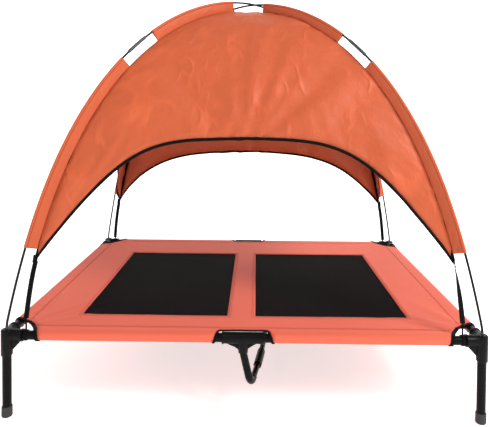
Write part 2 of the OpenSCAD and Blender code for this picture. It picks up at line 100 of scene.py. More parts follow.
# ---- sizes and colours that can be changed ----
def length_of(name, description, default, smallest, largest):
    """A property in metres."""
    return FloatProperty(name=name, description=description, unit="LENGTH", default=default, min=smallest,
                         max=largest)


def colour_of(name, description, default):
    """A colour property."""
    return FloatVectorProperty(name=name, description=description, subtype="COLOR", default=default, min=0,
                               max=1)


class PETBED_PG_canopy(bpy.types.PropertyGroup):
    """Sizes of the canopy's cloth and poles"""

    slack: FloatProperty(name="Slack", description="Share by which the cloth is cut larger than its shape",
                         default=0.006, min=0.0, max=0.03)
    cloth_thickness: length_of("Cloth thickness", "Thickness of the canopy cloth", 0.0008, 0.0003, 0.002)
    columns: IntProperty(name="Columns", description="Mesh columns across each panel", default=56, min=16,
                         max=120)
    rows: IntProperty(name="Rows", description="Mesh rows up each panel", default=52, min=16, max=120)
    sleeve_puff: length_of("Sleeve creases", "Depth of the creases in the pole sleeves", 0.0016, 0.0, 0.004)


class PETBED_PG_deck(bpy.types.PropertyGroup):
    """Sizes of the bed's deck"""

    sag: length_of("Sag", "How far the middle of the deck hangs below the rails", 0.004, 0.0, 0.02)
    pitch: length_of("Mesh pitch", "Distance between the deck's mesh lines", 0.009, 0.004, 0.03)
    hem: length_of("Hem", "Distance of the sewn line from a rail's centre", 0.030, 0.02, 0.05)
    stitch: length_of("Stitch length", "Distance from one stitch to the next", 0.0052, 0.003, 0.01)


class PETBED_PG_colours(bpy.types.PropertyGroup):
    """Colours of the cloth and fittings"""

    canopy: colour_of("Canopy cloth", "Colour of the canopy cloth", (0.52, 0.096, 0.032))
    deck: colour_of("Deck cloth", "Colour of the deck cloth", (0.84, 0.150, 0.085))
    mesh: colour_of("Mesh", "Colour of the mesh windows", (0.0045, 0.0018, 0.0021))
    tape: colour_of("Tape and webbing", "Colour of the bindings and straps", (0.0028, 0.0028, 0.0030))
    plastic: colour_of("Fittings", "Colour of the moulded fittings", (0.0035, 0.0035, 0.0037))
    steel: colour_of("Powder coat", "Colour of the coated tubes", (0.0032, 0.0032, 0.0035))


def settings():
    return bpy.context.scene.petbed_canopy, bpy.context.scene.petbed_deck, bpy.context.scene.petbed_colours


# ---- shader maths ----
class Wire:
    """A node socket that does arithmetic: an expression on wires adds its Math nodes."""

    def __init__(self, finish, socket):
        self.finish, self.socket = finish, socket

    def _math(self, operation, *others):
        return self.finish.node("ShaderNodeMath", {"operation": operation}, [self, *others])

    def __add__(self, other):
        return self._math("ADD", other)

    __radd__ = __add__

    def __mul__(self, other):
        return self._math("MULTIPLY", other)

    __rmul__ = __mul__

    def __sub__(self, other):
        return self._math("SUBTRACT", other)

    def __rsub__(self, other):
        return self.finish.node("ShaderNodeMath", {"operation": "SUBTRACT"}, [other, self])

    def __truediv__(self, other):
        return self._math("DIVIDE", other)

    def __pow__(self, other):
        return self._math("POWER", other)

    def sine(self):
        return self._math("SINE")

    def size(self):
        return self._math("ABSOLUTE")

    def above(self, edge):
        return self._math("GREATER_THAN", edge)

    def most(self, other):
        return self._math("MAXIMUM", other)

    def least(self, other):
        return self._math("MINIMUM", other)


class Finish:
    """A material under construction."""

    def __init__(self, name):
        self.material = bpy.data.materials.new(name)
        self.material.use_nodes = True
        self.tree = self.material.node_tree
        self.tree.nodes.clear()

    def node(self, kind, options, values, out=0):
        made = self.tree.nodes.new(kind)
        for key, value in options.items():
            if key == "stops":
                self._stops(made.color_ramp, value)
            else:
                setattr(made, key, value)
        pairs = values.items() if isinstance(values, dict) else enumerate(values)
        for key, value in pairs:
            if isinstance(value, Wire):
                self.tree.links.new(value.socket, made.inputs[key])
            else:
                made.inputs[key].default_value = value
        return Wire(self, made.outputs[out])

    def _stops(self, ramp, stops):
        while len(ramp.elements) > 1:
            ramp.elements.remove(ramp.elements[-1])
        for i, (place, colour) in enumerate(stops):
            stop = ramp.elements[0] if i == 0 else ramp.elements.new(place)
            stop.position, stop.color = place, (*colour, 1)

    def coords(self, kind="Object"):
        return self.node("ShaderNodeTexCoord", {}, {}, out=kind)

    def axes(self, vector):
        split = self.node("ShaderNodeSeparateXYZ", {}, [vector])
        return [Wire(self, split.socket.node.outputs[i]) for i in range(3)]

    def cloud(self, vector, scale, detail=3.0, roughness=0.55):
        return self.node("ShaderNodeTexNoise", {}, {"Vector": vector, "Scale": scale, "Detail": detail,
                                                    "Roughness": roughness})

    def stretched(self, vector, scale):
        return self.node("ShaderNodeMapping", {}, {"Vector": vector, "Scale": scale})

    def mix(self, share, a, b):
        colours = [v if isinstance(v, Wire) else (*v, 1) for v in (a, b)]
        made = self.tree.nodes.new("ShaderNodeMix")
        made.data_type = "RGBA"
        for socket, value in zip((made.inputs[0], made.inputs[6], made.inputs[7]), (share, *colours)):
            if isinstance(value, Wire):
                self.tree.links.new(value.socket, socket)
            else:
                socket.default_value = value
        return Wire(self, made.outputs[2])

    def bump(self, height, strength, distance, under=None):
        values = {"Height": height, "Strength": strength, "Distance": distance}
        if under is not None:
            values["Normal"] = under
        return self.node("ShaderNodeBump", {}, values)

    def surface(self, **values):
        names = {"colour": "Base Color", "rough": "Roughness", "metal": "Metallic", "normal": "Normal",
                 "sheen": "Sheen Weight", "sheen_rough": "Sheen Roughness", "coat": "Coat Weight",
                 "coat_rough": "Coat Roughness", "level": "Specular IOR Level", "alpha": "Alpha",
                 "glow": "Emission Color", "glow_strength": "Emission Strength"}
        inputs = {names[k]: (*v, 1) if isinstance(v, tuple) and len(v) == 3 else v
                  for k, v in values.items()}
        shader = self.node("ShaderNodeBsdfPrincipled", {}, inputs)
        made = self.tree.nodes.new("ShaderNodeOutputMaterial")
        self.tree.links.new(shader.socket, made.inputs["Surface"])
        return self.material


def tint(colour, factor):
    return tuple(min(1.0, c * factor) for c in colour)


def once(maker):
    """Keeps the one material that a maker makes."""
    name = maker.__name__

    def get():
        return bpy.data.materials.get(name) or maker(Finish(name))

    return get


def woven(finish, u, v, pitch):
    """Height of a plain weave: warp and weft threads that pass over and under each other."""
    turn = math.pi / pitch
    warp, weft = (u * turn).sine(), (v * turn).sine()
    over = (warp * weft).above(0.0)
    return over * warp.size() + (1.0 - over) * weft.size()


def pressed_lines(finish, place, scale, sharpness):
    """Height of thin creases pressed into coated cloth, along the middle level of a cloud."""
    line = (1.0 - (finish.cloud(place, scale, 1.0, 0.4) - 0.5).size() * sharpness).most(0.0)
    return line * ((finish.cloud(place, scale * 0.6, 2.0) - 0.50).most(0.0) * 6.0).least(1.0)


@once
def canopy_cloth(f):
    _, _, colours = settings()
    base = tuple(colours.canopy)
    uv = f.coords("UV")
    u, v, _ = f.axes(uv)
    weave = woven(f, u, v, 0.0011)
    patches = f.cloud(uv, 3.5, 4.0)
    fade = f.cloud(uv, 14.0, 3.0)
    creases = f.cloud(f.stretched(uv, (1.0, 0.55, 1.0)), 34.0, 5.0, 0.62)
    fine = f.cloud(uv, 130.0, 4.0, 0.6)
    pressed = (pressed_lines(f, uv, 7.0, 20.0)
               + pressed_lines(f, f.stretched(uv, (1.6, 0.7, 1.0)), 11.0, 16.0))
    colour = f.mix(patches, tint(base, 0.90), tint(base, 1.08))
    # Crease ridges are painted lighter: a painted highlight on the folds. The same cloud also gives the real
    # bump.
    colour = f.mix((creases - 0.5).most(0.0) * 0.9, colour, tint(base, 1.35))
    # Pressed lines are painted lighter: a painted highlight along the thin creases. Their height also gives
    # the real bump.
    colour = f.mix(pressed.least(1.0) * 0.35, colour, tint(base, 1.5))
    colour = f.mix(weave * 0.10, colour, tint(base, 0.72))
    relief = f.bump(creases * 0.7 + fine * 0.3, 0.50, 0.0045)
    relief = f.bump(pressed, 0.55, 0.0040, under=relief)
    relief = f.bump(weave, 0.16, 0.0004, under=relief)
    return f.surface(colour=colour, rough=0.40 + 0.16 * fade, normal=relief, sheen=0.05, sheen_rough=0.45,
                     level=0.30)


@once
def sleeve_cloth(f):
    _, _, colours = settings()
    base = tint(tuple(colours.canopy), 1.02)
    uv = f.coords("UV")
    u, v, _ = f.axes(uv)
    weave = woven(f, u, v, 0.0011)
    patches = f.cloud(uv, 9.0, 4.0)
    creases = f.cloud(f.stretched(uv, (1.0, 0.35, 1.0)), 60.0, 4.0, 0.6)
    colour = f.mix(patches, tint(base, 0.86), tint(base, 1.12))
    colour = f.mix(weave * 0.10, colour, tint(base, 0.70))
    relief = f.bump(creases, 0.55, 0.003)
    relief = f.bump(weave, 0.16, 0.0004, under=relief)
    return f.surface(colour=colour, rough=0.46 + 0.12 * patches, normal=relief, sheen=0.05, sheen_rough=0.45,
                     level=0.30)


@once
def deck_cloth(f):
    _, _, colours = settings()
    base = tuple(colours.deck)
    uv = f.coords("UV")
    u, v, _ = f.axes(uv)
    weave = woven(f, u, v, 0.0014)
    patches = f.cloud(uv, 4.0, 4.0)
    slubs = f.cloud(f.stretched(uv, (1.0, 14.0, 1.0)), 26.0, 3.0)
    wear = f.cloud(uv, 22.0, 5.0, 0.65)
    colour = f.mix(patches, tint(base, 0.93), tint(base, 1.06))
    colour = f.mix(slubs * 0.22, colour, tint(base, 0.80))
    colour = f.mix(weave * 0.16, colour, tint(base, 0.66))
    relief = f.bump(wear, 0.22, 0.0016)
    relief = f.bump(weave, 0.30, 0.0006, under=relief)
    return f.surface(colour=colour, rough=0.60 + 0.14 * wear, normal=relief, sheen=0.05, sheen_rough=0.5,
                     level=0.20)


@once
def window_mesh(f):
    """Knitted mesh: rows of small round openings, each row set off by half a pitch. The openings are not cut
    but painted darker, as painted shade seen through them.
    """
    _, _, colours = settings()
    base = tuple(colours.mesh)
    uv = f.coords("UV")
    u, v, _ = f.axes(uv)
    pitch = 0.0022
    turn = math.pi / pitch
    strands = ((u + v) * turn).sine().size() * ((u - v) * turn).sine().size()
    painted_hole_shade = strands.above(0.55)
    cloudy = f.cloud(uv, 5.0, 4.0)
    colour = f.mix(cloudy, tint(base, 0.8), tint(base, 1.6))
    # The openings are painted darker: painted shade seen through the mesh.
    colour = f.mix(painted_hole_shade, colour, tint(base, 0.35))
    relief = f.bump(1.0 - strands, 0.6, 0.0008)
    return f.surface(colour=colour, rough=0.72 + 0.1 * cloudy, normal=relief, sheen=0.003, sheen_rough=0.5,
                     level=0.03)


@once
def edge_tape(f):
    """Narrow woven tape with slanting ribs."""
    _, _, colours = settings()
    base = tuple(colours.tape)
    uv = f.coords("UV")
    u, v, _ = f.axes(uv)
    ribs = ((u * 0.6 + v) * (math.pi / 0.0012)).sine().size()
    dust = f.cloud(uv, 60.0, 4.0)
    colour = f.mix(ribs * 0.5 + dust * 0.3, tint(base, 0.7), tint(base, 2.4))
    relief = f.bump(ribs, 0.45, 0.0005)
    return f.surface(colour=colour, rough=0.58 + 0.2 * dust, normal=relief, sheen=0.004, sheen_rough=0.4,
                     level=0.06)


@once
def strap_webbing(f):
    """Webbing: ribs across the strap and cords along it."""
    _, _, colours = settings()
    base = tuple(colours.tape)
    uv = f.coords("UV")
    u, v, _ = f.axes(uv)
    ribs = (v * (math.pi / 0.0016)).sine().size()
    cords = (u * (math.pi / 0.0024)).sine().size()
    dust = f.cloud(uv, 90.0, 4.0)
    colour = f.mix(ribs * 0.4 + dust * 0.4, tint(base, 0.7), tint(base, 2.6))
    relief = f.bump(ribs * 0.7 + cords * 0.3, 0.6, 0.0006)
    return f.surface(colour=colour, rough=0.55 + 0.25 * dust, normal=relief, sheen=0.004, sheen_rough=0.4,
                     level=0.06)


@once
def sewing_thread(f):
    _, _, colours = settings()
    base = tint(tuple(colours.deck), 0.72)
    place = f.coords()
    twist = f.cloud(place, 900.0, 2.0)
    colour = f.mix(twist, tint(base, 0.75), tint(base, 1.15))
    return f.surface(colour=colour, rough=0.6 + 0.1 * twist, normal=f.bump(twist, 0.3, 0.0003), level=0.3)


@once
def moulded_plastic(f):
    """Injection-moulded plastic: fine grain, flow marks and a little shine on handled places."""
    _, _, colours = settings()
    base = tuple(colours.plastic)
    place = f.coords()
    grain = f.cloud(place, 1400.0, 2.0)
    flow = f.cloud(f.stretched(place, (1.0, 1.0, 0.3)), 45.0, 4.0)
    scuff = f.cloud(f.stretched(place, (1.0, 6.0, 1.0)), 120.0, 5.0, 0.7)
    marks = (scuff - 0.60).most(0.0) * 3.0
    colour = f.mix(flow, tint(base, 0.75), tint(base, 1.7))
    colour = f.mix(marks, colour, (0.022, 0.022, 0.023))
    relief = f.bump(grain, 0.16, 0.0004)
    return f.surface(colour=colour, rough=0.28 + 0.14 * flow, normal=relief, level=0.09)


@once
def powder_coat(f):
    """Powder-coated steel: an even orange-peel skin with a soft shine."""
    _, _, colours = settings()
    base = tuple(colours.steel)
    place = f.coords()
    peel = f.cloud(place, 520.0, 2.0)
    patches = f.cloud(place, 18.0, 3.0)
    colour = f.mix(patches, tint(base, 0.8), tint(base, 1.5))
    relief = f.bump(peel, 0.20, 0.0005)
    return f.surface(colour=colour, rough=0.26 + 0.12 * patches, normal=relief, coat=0.01, coat_rough=0.2,
                     level=0.08)


@once
def foot_rubber(f):
    _, _, colours = settings()
    place = f.coords()
    _, _, z = f.axes(place)
    dirt = f.cloud(place, 130.0, 5.0, 0.65)
    low = (1.0 - z * 60.0).most(0.0)
    colour = f.mix(dirt * 0.5 + low * 0.3, (0.002, 0.002, 0.002), (0.010, 0.0095, 0.009))
    return f.surface(colour=colour, rough=0.60 + 0.2 * dirt, normal=f.bump(dirt, 0.3, 0.0006), level=0.05)


@once
def pole_rod(f):
    """Pulled fibreglass rod: fine streaks along its length under a clear skin."""
    place = f.coords("UV")
    streaks = f.cloud(f.stretched(place, (900.0, 6.0, 1.0)), 1.0, 3.0)
    colour = f.mix(streaks, (0.002, 0.002, 0.0022), (0.010, 0.010, 0.011))
    relief = f.bump(streaks, 0.12, 0.0003)
    return f.surface(colour=colour, rough=0.24 + 0.12 * streaks, normal=relief, coat=0.02, coat_rough=0.2,
                     level=0.10)


@once
def pole_metal(f):
    """Dark anodised tube with turned rings."""
    place = f.coords("UV")
    rings = f.cloud(f.stretched(place, (8.0, 1600.0, 1.0)), 1.0, 3.0)
    colour = f.mix(rings, (0.012, 0.012, 0.013), (0.035, 0.035, 0.037))
    return f.surface(colour=colour, rough=0.28 + 0.12 * rings, metal=0.7, normal=f.bump(rings, 0.12, 0.0003),
                     level=0.5)


# ---- meshes ----
def new_piece(name, bm, material):
    """Makes an object of a bmesh, with its place in its mesh."""
    mesh = bpy.data.meshes.new(name)
    bm.to_mesh(mesh)
    bm.free()
    mesh.polygons.foreach_set("use_smooth", [True] * len(mesh.polygons))
    piece = bpy.data.objects.new(name, mesh)
    bpy.context.scene.collection.objects.link(piece)
    mesh.materials.append(material)
    return piece


def place_grid(bm, nu, nv, place, flat, material_index=0):
    """Adds a grid of nu by nv faces at place(u, v), with flat(u, v) in metres as its UV."""
    layer = bm.loops.layers.uv.verify()
    made = bmesh.ops.create_grid(bm, x_segments=nu, y_segments=nv, size=0.5)["verts"]
    share = {v: (min(1.0, max(0.0, v.co.x + 0.5)), min(1.0, max(0.0, v.co.y + 0.5))) for v in made}
    for face in {f for v in made for f in v.link_faces}:
        face.material_index = material_index
        for loop in face.loops:
            loop[layer].uv = flat(*share[loop.vert])
    for v in made:
        v.co = place(*share[v])
    return made


def weld(bm, distance=0.00002):
    bmesh.ops.remove_doubles(bm, verts=bm.verts, dist=distance)
    bmesh.ops.dissolve_degenerate(bm, edges=bm.edges, dist=0.00001)


def close_ends(bm):
    bmesh.ops.holes_fill(bm, edges=[e for e in bm.edges if e.is_boundary], sides=0)


def outward(bm):
    bmesh.ops.recalc_face_normals(bm, faces=bm.faces)


def add_tube(bm, stations, section, steps, caps=True):
    """Adds a closed tube: stations holds (point, side, up, distance), section(turn, k) is [side, up]."""
    part = bmesh.new()
    last = len(stations) - 1

    def place(u, v):
        k = round(v * last)
        point, side, up, _ = stations[k]
        x, y = section(u % 1.0, k / last)
        return point + side * x + up * y

    def flat(u, v):
        return u * steps * 0.002, stations[round(v * last)][3]

    place_grid(part, steps, last, place, flat)
    weld(part)
    if caps:
        close_ends(part)
    outward(part)
    join(bm, part)


def join(bm, part):
    """Adds the faces of part, which is used up."""
    mesh = bpy.data.meshes.new("part")
    part.to_mesh(mesh)
    part.free()
    bm.from_mesh(mesh)
    bpy.data.meshes.remove(mesh)


def thicken(piece, thickness, offset=-1.0):
    """Gives cloth its thickness."""
    wall = piece.modifiers.new("Thickness", "SOLIDIFY")
    wall.thickness, wall.offset, wall.use_even_offset = thickness, offset, False
    return piece


def soften(piece, width, segments=2, angle=35):
    """Rounds sharp edges."""
    bevel = piece.modifiers.new("Rounded edges", "BEVEL")
    bevel.width, bevel.segments, bevel.limit_method = width, segments, "ANGLE"
    bevel.angle_limit = math.radians(angle)
    return piece


def apply_modifiers(piece):
    graph = bpy.context.evaluated_depsgraph_get()
    mesh = bpy.data.meshes.new_from_object(piece.evaluated_get(graph), preserve_all_data_layers=True,
                                           depsgraph=graph)
    old = piece.data
    piece.modifiers.clear()
    piece.data = mesh
    bpy.data.meshes.remove(old)
    return piece


def circle(radius):
    return lambda turn, k: (radius * math.cos(2 * math.pi * turn), radius * math.sin(2 * math.pi * turn))


def strip(width, thickness):
    """Section of a flat strip with round edges."""
    def place(turn, k):
        a = 2 * math.pi * turn
        power = 0.28
        x, y = math.cos(a), math.sin(a)
        return (width / 2 * math.copysign(abs(x) ** power, x),
                thickness / 2 * math.copysign(abs(y) ** 0.8, y))
    return place


def framed(points, up_hint):
    """Stations along a list of points, with the side square to the path and near up_hint."""
    found, run = [], 0.0
    for i, p in enumerate(points):
        ahead = (points[min(i + 1, len(points) - 1)] - points[max(i - 1, 0)]).normalized()
        hint = up_hint(i / (len(points) - 1)) if callable(up_hint) else up_hint
        side = (hint - ahead * hint.dot(ahead)).normalized()
        found.append((p, side, ahead.cross(side), run))
        run += (points[min(i + 1, len(points) - 1)] - p).length
    return found


def smooth_path(points, steps):
    """Points along a smooth curve through the given ones."""
    rows = [points[0], *points, points[-1]]
    found = []
    for i in range(1, len(rows) - 2):
        a, b, c, d = rows[i - 1:i + 3]
        for j in range(steps):
            t = j / steps
            found.append(0.5 * ((2 * b) + (c - a) * t + (2 * a - 5 * b + 4 * c - d) * t * t
                                + (3 * b - a - 3 * c + d) * t ** 3))
    return found + [points[-1]]


def ripple(*place):
    return noise.noise(Vector(place))


def done(piece, body, slot, *nodes):
    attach(piece, body)
    if nodes:
        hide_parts(*nodes)
    return piece


# ---- the bent poles ----
ARC_STEP = 0.005
UPRIGHT, BASE_LEAN, BASE_BEND, BEND_RATE = 0.018, 13.0, 17.6, 83.0
SLEEVE_W = 0.028


def ease(t):
    u = min(1.0, max(0.0, t))
    return u * u * (3 - 2 * u)


def bend_table():
    """The [reach, height] steps of a rod that leaves its socket upright and bends more higher up."""
    s = x = z = turn = 0.0
    rows = []
    while BASE_LEAN * ease(s / UPRIGHT) + turn < 90:
        rows.append((x, z))
        lean = math.radians(BASE_LEAN * ease(s / UPRIGHT) + turn)
        x, z = x + ARC_STEP * math.sin(lean), z + ARC_STEP * math.cos(lean)
        s += ARC_STEP
        turn = turn + (BASE_BEND + BEND_RATE * z) * ARC_STEP
    return rows


BEND = bend_table()
ARC_HALF = (len(BEND) - 1) * ARC_STEP
GAP_START, GAP_END, CROWN_GAP, SLEEVE_START = 0.738, 0.862, 0.068, 0.192
JOINT_ARC = (GAP_START + GAP_END) / 2


def pole_at(rise, s):
    i = min(len(BEND) - 2, max(0, int(s / ARC_STEP)))
    f = s / ARC_STEP - i
    x = BEND[i][0] * (1 - f) + BEND[i + 1][0] * f
    z = BEND[i][1] * (1 - f) + BEND[i + 1][1] * f
    return Vector((x * REACH / BEND[-1][0], z * rise / BEND[-1][1]))


def pole_along(rise, s):
    return (pole_at(rise, min(ARC_HALF, s + 0.005)) - pole_at(rise, max(0.0, s - 0.005))).normalized()


def inside(rise, s, u):
    """The pole's point at arc s, moved in towards the canopy's inside by u."""
    t = pole_along(rise, s)
    return pole_at(rise, s) + u * Vector((t.y, -t.x))


def spot(corner, p):
    """A point of a half pole's plane in space, for a corner's signs."""
    k = 1 - p.x / REACH
    return Vector((corner[0] * HALF_X * k, corner[1] * HALF_Y * k, FITTING_TOP + p.y))


def diagonal_side(corner):
    return Vector((-corner[1] * HALF_Y, corner[0] * HALF_X, 0)).normalized() * corner[0] * corner[1]


def pole_station(corner, rise, s, u=0.0):
    """(point, inward direction, sideways direction, distance) at arc s of a corner's half pole."""
    t = pole_along(rise, s)
    inward = Vector((-corner[0] * HALF_X, -corner[1] * HALF_Y, 0)) / REACH
    n = inward * t.y + Vector((0, 0, -t.x))
    return spot(corner, inside(rise, s, u)), n, diagonal_side(corner), s


def arcs(a, b, step):
    count = max(2, round((b - a) / step))
    return [a + (b - a) * i / count for i in range(count + 1)]


# ---- canopy cloth ----
ARCH_SHAPE = {  # slope of the legs, half width at the shoulder, softness of the shoulder
    "front": (1.43, 0.527 * HALF_X, 0.0655),
    "rear": (1.94, 0.778 * HALF_X, 0.102),
    "left": (1.30, 0.490 * HALF_Y, 0.045),
    "right": (1.30, 0.490 * HALF_Y, 0.045),
}
# The rear arch is sewn a little off the middle
ARCH_SHIFT = {"front": 0.0, "rear": 0.013, "left": 0.0, "right": 0.0}
TIP_ARC = 0.164
TIP_PULL, TIP_PULL_LENGTH = 0.006, 0.05
TURN = {"front": 0, "right": 90, "rear": 180, "left": 270}


def edge_height(side, x, off):
    slope, shoulder, soft = ARCH_SHAPE[side]
    x = x - ARCH_SHIFT[side]
    z = ARCH_TOP[side] - slope * soft * math.log(1 + math.exp((abs(x) - shoulder) / soft))
    lean = slope / (1 + math.exp(-(abs(x) - shoulder) / soft))
    return z + off * math.hypot(1, lean)


def half_width(side):
    return HALF_X if side in ("front", "rear") else HALF_Y


def half_depth(side):
    return HALF_Y if side in ("front", "rear") else HALF_X


@functools.cache
def edge_arc(side, c, off):
    """Seam arc at which a column, at share c of the width, meets the arch's curve."""
    low, high = 0.05, 0.95
    for _ in range(24):
        mid = (low + high) / 2
        p = inside(MEAN_RISE, mid, SLEEVE_W)
        x = c * half_width(side) * (1 - p.x / REACH)
        low, high = (low, mid) if p.y > edge_height(side, x, off) else (mid, high)
    return low


def foot_arc(side, c, off):
    """The same, with the four tips brought to one height where neighbouring panels are sewn together."""
    tip = TIP_ARC + off * 1.6
    return edge_arc(side, c, off) + (tip - edge_arc(side, math.copysign(1.0, c), off)) * abs(c) ** 10


def panel_point(side, c, s):
    """Point of a panel at share c across and seam arc s."""
    p = seam_at(s)
    k = max(0.0, 1 - p.x / REACH)
    at = Vector((c * half_width(side) * k, -half_depth(side) * k, FITTING_TOP + p.y))
    t = pole_along(MEAN_RISE, s)
    out = Vector((0, -t.y * REACH / half_depth(side), t.x)).normalized()
    at += out * creases(side, c, s, at.x, at.z)
    return Matrix.Rotation(math.radians(TURN[side]), 3, "Z") @ at


def seam_at(s):
    """The seam's line beside a pole; the strap pulls its tip a little further in."""
    pull = TIP_PULL * (1 - ease((s - TIP_ARC) / TIP_PULL_LENGTH))
    return inside(MEAN_RISE, s, SLEEVE_W + pull)


def creases(side, c, s, x, z):
    """How far the cloth stands out of its smooth shape: arch pulls, seam folds and slack."""
    seed = 2.3 * SIDES.index(side)
    low = edge_arc(side, round(c, 6), 0.0)
    up = (s - low) / (ARC_HALF - low)
    arch = z - FITTING_TOP - ARCH_TOP[side]
    far = math.hypot(x, arch)
    fan = ripple(math.atan2(x, max(arch, 0.0) + 0.03) * 5.0, far * 2.0, seed) * math.exp(-(far / 0.20) ** 2)
    edge = half_width(side) * (1 - inside(MEAN_RISE, s, SLEEVE_W).x / REACH) - abs(x)
    leg = max(0.0, 1 - (s - TIP_ARC) / 0.45)
    drag = ripple(edge * 26, s * 3.5, seed + math.copysign(3, x)) * leg ** 0.7
    pleat = ripple(s * 30, edge * 7, seed + 5 + math.copysign(2, x)) * math.exp(-(edge / 0.045) ** 2)
    slack = ripple(x * 5, s * 4.5, seed + 9) + 0.4 * ripple(x * 13, s * 11, seed + 12)
    height = 0.013 * fan + 0.013 * drag + 0.007 * pleat + 0.006 * slack * min(1.0, up * 3 + 0.3)
    held = min(1.0, edge / 0.022) * min(1.0, (ARC_HALF - s) / 0.10)
    return height * max(0.0, held)


def panel_share(j, rows, lower, upper):
    """Seam arc of row j: row 0 is the lower edge, row 1 the binding's top, and the last row the crown."""
    if j == 0:
        return lower
    return upper + (ARC_HALF - upper) * ((j - 1) / (rows - 1)) ** 0.94


def build_canopy_sheet(columns, rows):
    """The four panels as one sewn sheet, before it hangs. Panels are told apart by material index."""
    bm = bmesh.new()
    tape = bm.faces.layers.int.new("tape")
    for index, side in enumerate(SIDES):
        def arc(u, v):
            c = round(2 * u - 1, 6)
            return panel_share(round(v * rows), rows, foot_arc(side, c, 0.0), foot_arc(side, c, BINDING_W))

        def place(u, v):
            return panel_point(side, 2 * u - 1, arc(u, v))

        def flat(u, v):
            s = arc(u, v)
            k = 1 - inside(MEAN_RISE, s, SLEEVE_W).x / REACH
            return (2 * u - 1) * half_width(side) * k, s

        made = place_grid(bm, columns, rows, place, flat, index)
        hem = set(made[:2 * (columns + 1)])
        for face in {f for v in hem for f in v.link_faces}:
            face[tape] = int(all(v in hem for v in face.verts))
    weld(bm, 0.0004)
    return bm


def is_on_seam(co):
    return abs(abs(co.x) / HALF_X - abs(co.y) / HALF_Y) < 0.0010


HANG_FRAMES, HANG_CAP, HEM_GATHER = 30, 0.016, 0.004


def hang(piece, slack):
    """Lets a sheet hang from its pinned points, and caps how far it moves."""
    rest = [v.co.copy() for v in piece.data.vertices]
    cloth = piece.modifiers.new("Cloth", "CLOTH")
    use = cloth.settings
    use.quality, use.mass, use.air_damping = 6, 0.0004, 4.0
    use.tension_stiffness, use.compression_stiffness, use.shear_stiffness = 18, 10, 8
    use.bending_stiffness = 0.35
    use.vertex_group_mass = "pins"
    use.shrink_min = -slack
    use.shrink_max = HEM_GATHER
    use.vertex_group_shrink = "gather"
    cloth.collision_settings.use_self_collision = False
    cloth.point_cache.frame_start, cloth.point_cache.frame_end = 1, HANG_FRAMES
    for number in range(1, HANG_FRAMES + 1):
        bpy.context.scene.frame_set(number)
    apply_modifiers(piece)
    bpy.context.scene.frame_set(1)
    for v, start in zip(piece.data.vertices, rest):
        move = v.co - start
        if move.length > HANG_CAP:
            v.co = start + move * (HANG_CAP / move.length)
    return piece


def part_of(piece, name, keep, material):
    """A new piece of the faces for which keep(face) is true."""
    bm = bmesh.new()
    bm.from_mesh(piece.data)
    bmesh.ops.delete(bm, geom=[f for f in bm.faces if not keep(f)], context="FACES")
    for f in bm.faces:
        f.material_index = 0
    return new_piece(name, bm, material)


class PETBED_OT_canopy(bpy.types.Operator):
    """Sews the four canopy panels, lets them hang and binds their edges"""

    bl_idname = "petbed.canopy"
    bl_label = "Canopy cloth"

    def execute(self, context):
        sizes, _, _ = settings()
        columns, rows = sizes.columns, sizes.rows
        bm = build_canopy_sheet(columns, rows)
        outward(bm)
        sheet = new_piece("canopy_sheet", bm, canopy_cloth())
        pins = sheet.vertex_groups.new(name="pins")
        pins.add([v.index for v in sheet.data.vertices if is_on_seam(v.co)], 1.0, "REPLACE")
        gather = sheet.vertex_groups.new(name="gather")
        faces = [(p, m.value) for p, m in zip(sheet.data.polygons, sheet.data.attributes["tape"].data)]
        marked = {v for p, is_tape in faces for v in p.vertices if is_tape}
        gather.add(sorted(marked), 1.0, "REPLACE")
        # The cloth's area is taken here, from the sewn shape, before the cloth hangs
        sewn = [sum(p.area for p, is_tape in faces if p.material_index == index and not is_tape)
                for index in range(len(SIDES))]
        hang(sheet, sizes.slack)
        for index, side in enumerate(SIDES):
            self.panel(sheet, index, side, sizes.cloth_thickness, sewn[index] * (1 + sizes.slack) ** 2)
        bpy.data.objects.remove(sheet)
        return {"FINISHED"}

    def panel(self, sheet, index, side, thickness, area):
        bm = bmesh.new()
        bm.from_mesh(sheet.data)
        mark = bm.faces.layers.int["tape"]
        tape = {f.index for f in bm.faces if f.material_index == index and f[mark]}
        cloth = {f.index for f in bm.faces if f.material_index == index and not f[mark]}
        bm.free()
        binding = part_of(sheet, "binding_" + side, lambda f: f.index in tape, edge_tape())
        thicken(binding, 0.0026, 0.0)
        soften(binding, 0.0009, 3)
        apply_modifiers(binding)
        done(binding, CANOPY, "binding", "edge_binding_" + side)
        panel = part_of(sheet, "canopy_cloth_" + side, lambda f: f.index in cloth, canopy_cloth())
        width = 2 * half_width(side) * (1 - inside(MEAN_RISE, TIP_ARC, SLEEVE_W).x / REACH)
        middle_line = [panel_point(side, 0.0, s) for s in arcs(TIP_ARC, ARC_HALF, 0.02)]
        length = sum((b - a).length for a, b in zip(middle_line, middle_line[1:]))
        thicken(panel, thickness)
        apply_modifiers(panel)
        done(panel, CANOPY, "canopy_fabric", "canopy_" + side)


class PETBED_OT_seams(bpy.types.Operator):
    """Binds the four seams inside the canopy with tape"""

    bl_idname = "petbed.seams"
    bl_label = "Seam tapes"

    def execute(self, context):
        bm = bmesh.new()
        for corner in CORNERS.values():
            rows = [pole_station(corner, MEAN_RISE, s, SLEEVE_W + 0.0062)
                    for s in arcs(0.175, ARC_HALF - 0.012, 0.012)]
            add_tube(bm, rows, strip(0.011, 0.0022), 12)
        done(new_piece("seam_tape", bm, edge_tape()), CANOPY, "binding", "seam_tapes")
        return {"FINISHED"}


# Shares of a sleeve's points in each of its tails and in each half of its turn round the rod
TAIL_SHARE, TURN_SHARE = 0.34, 0.16
ROD_HUG = math.radians(112)


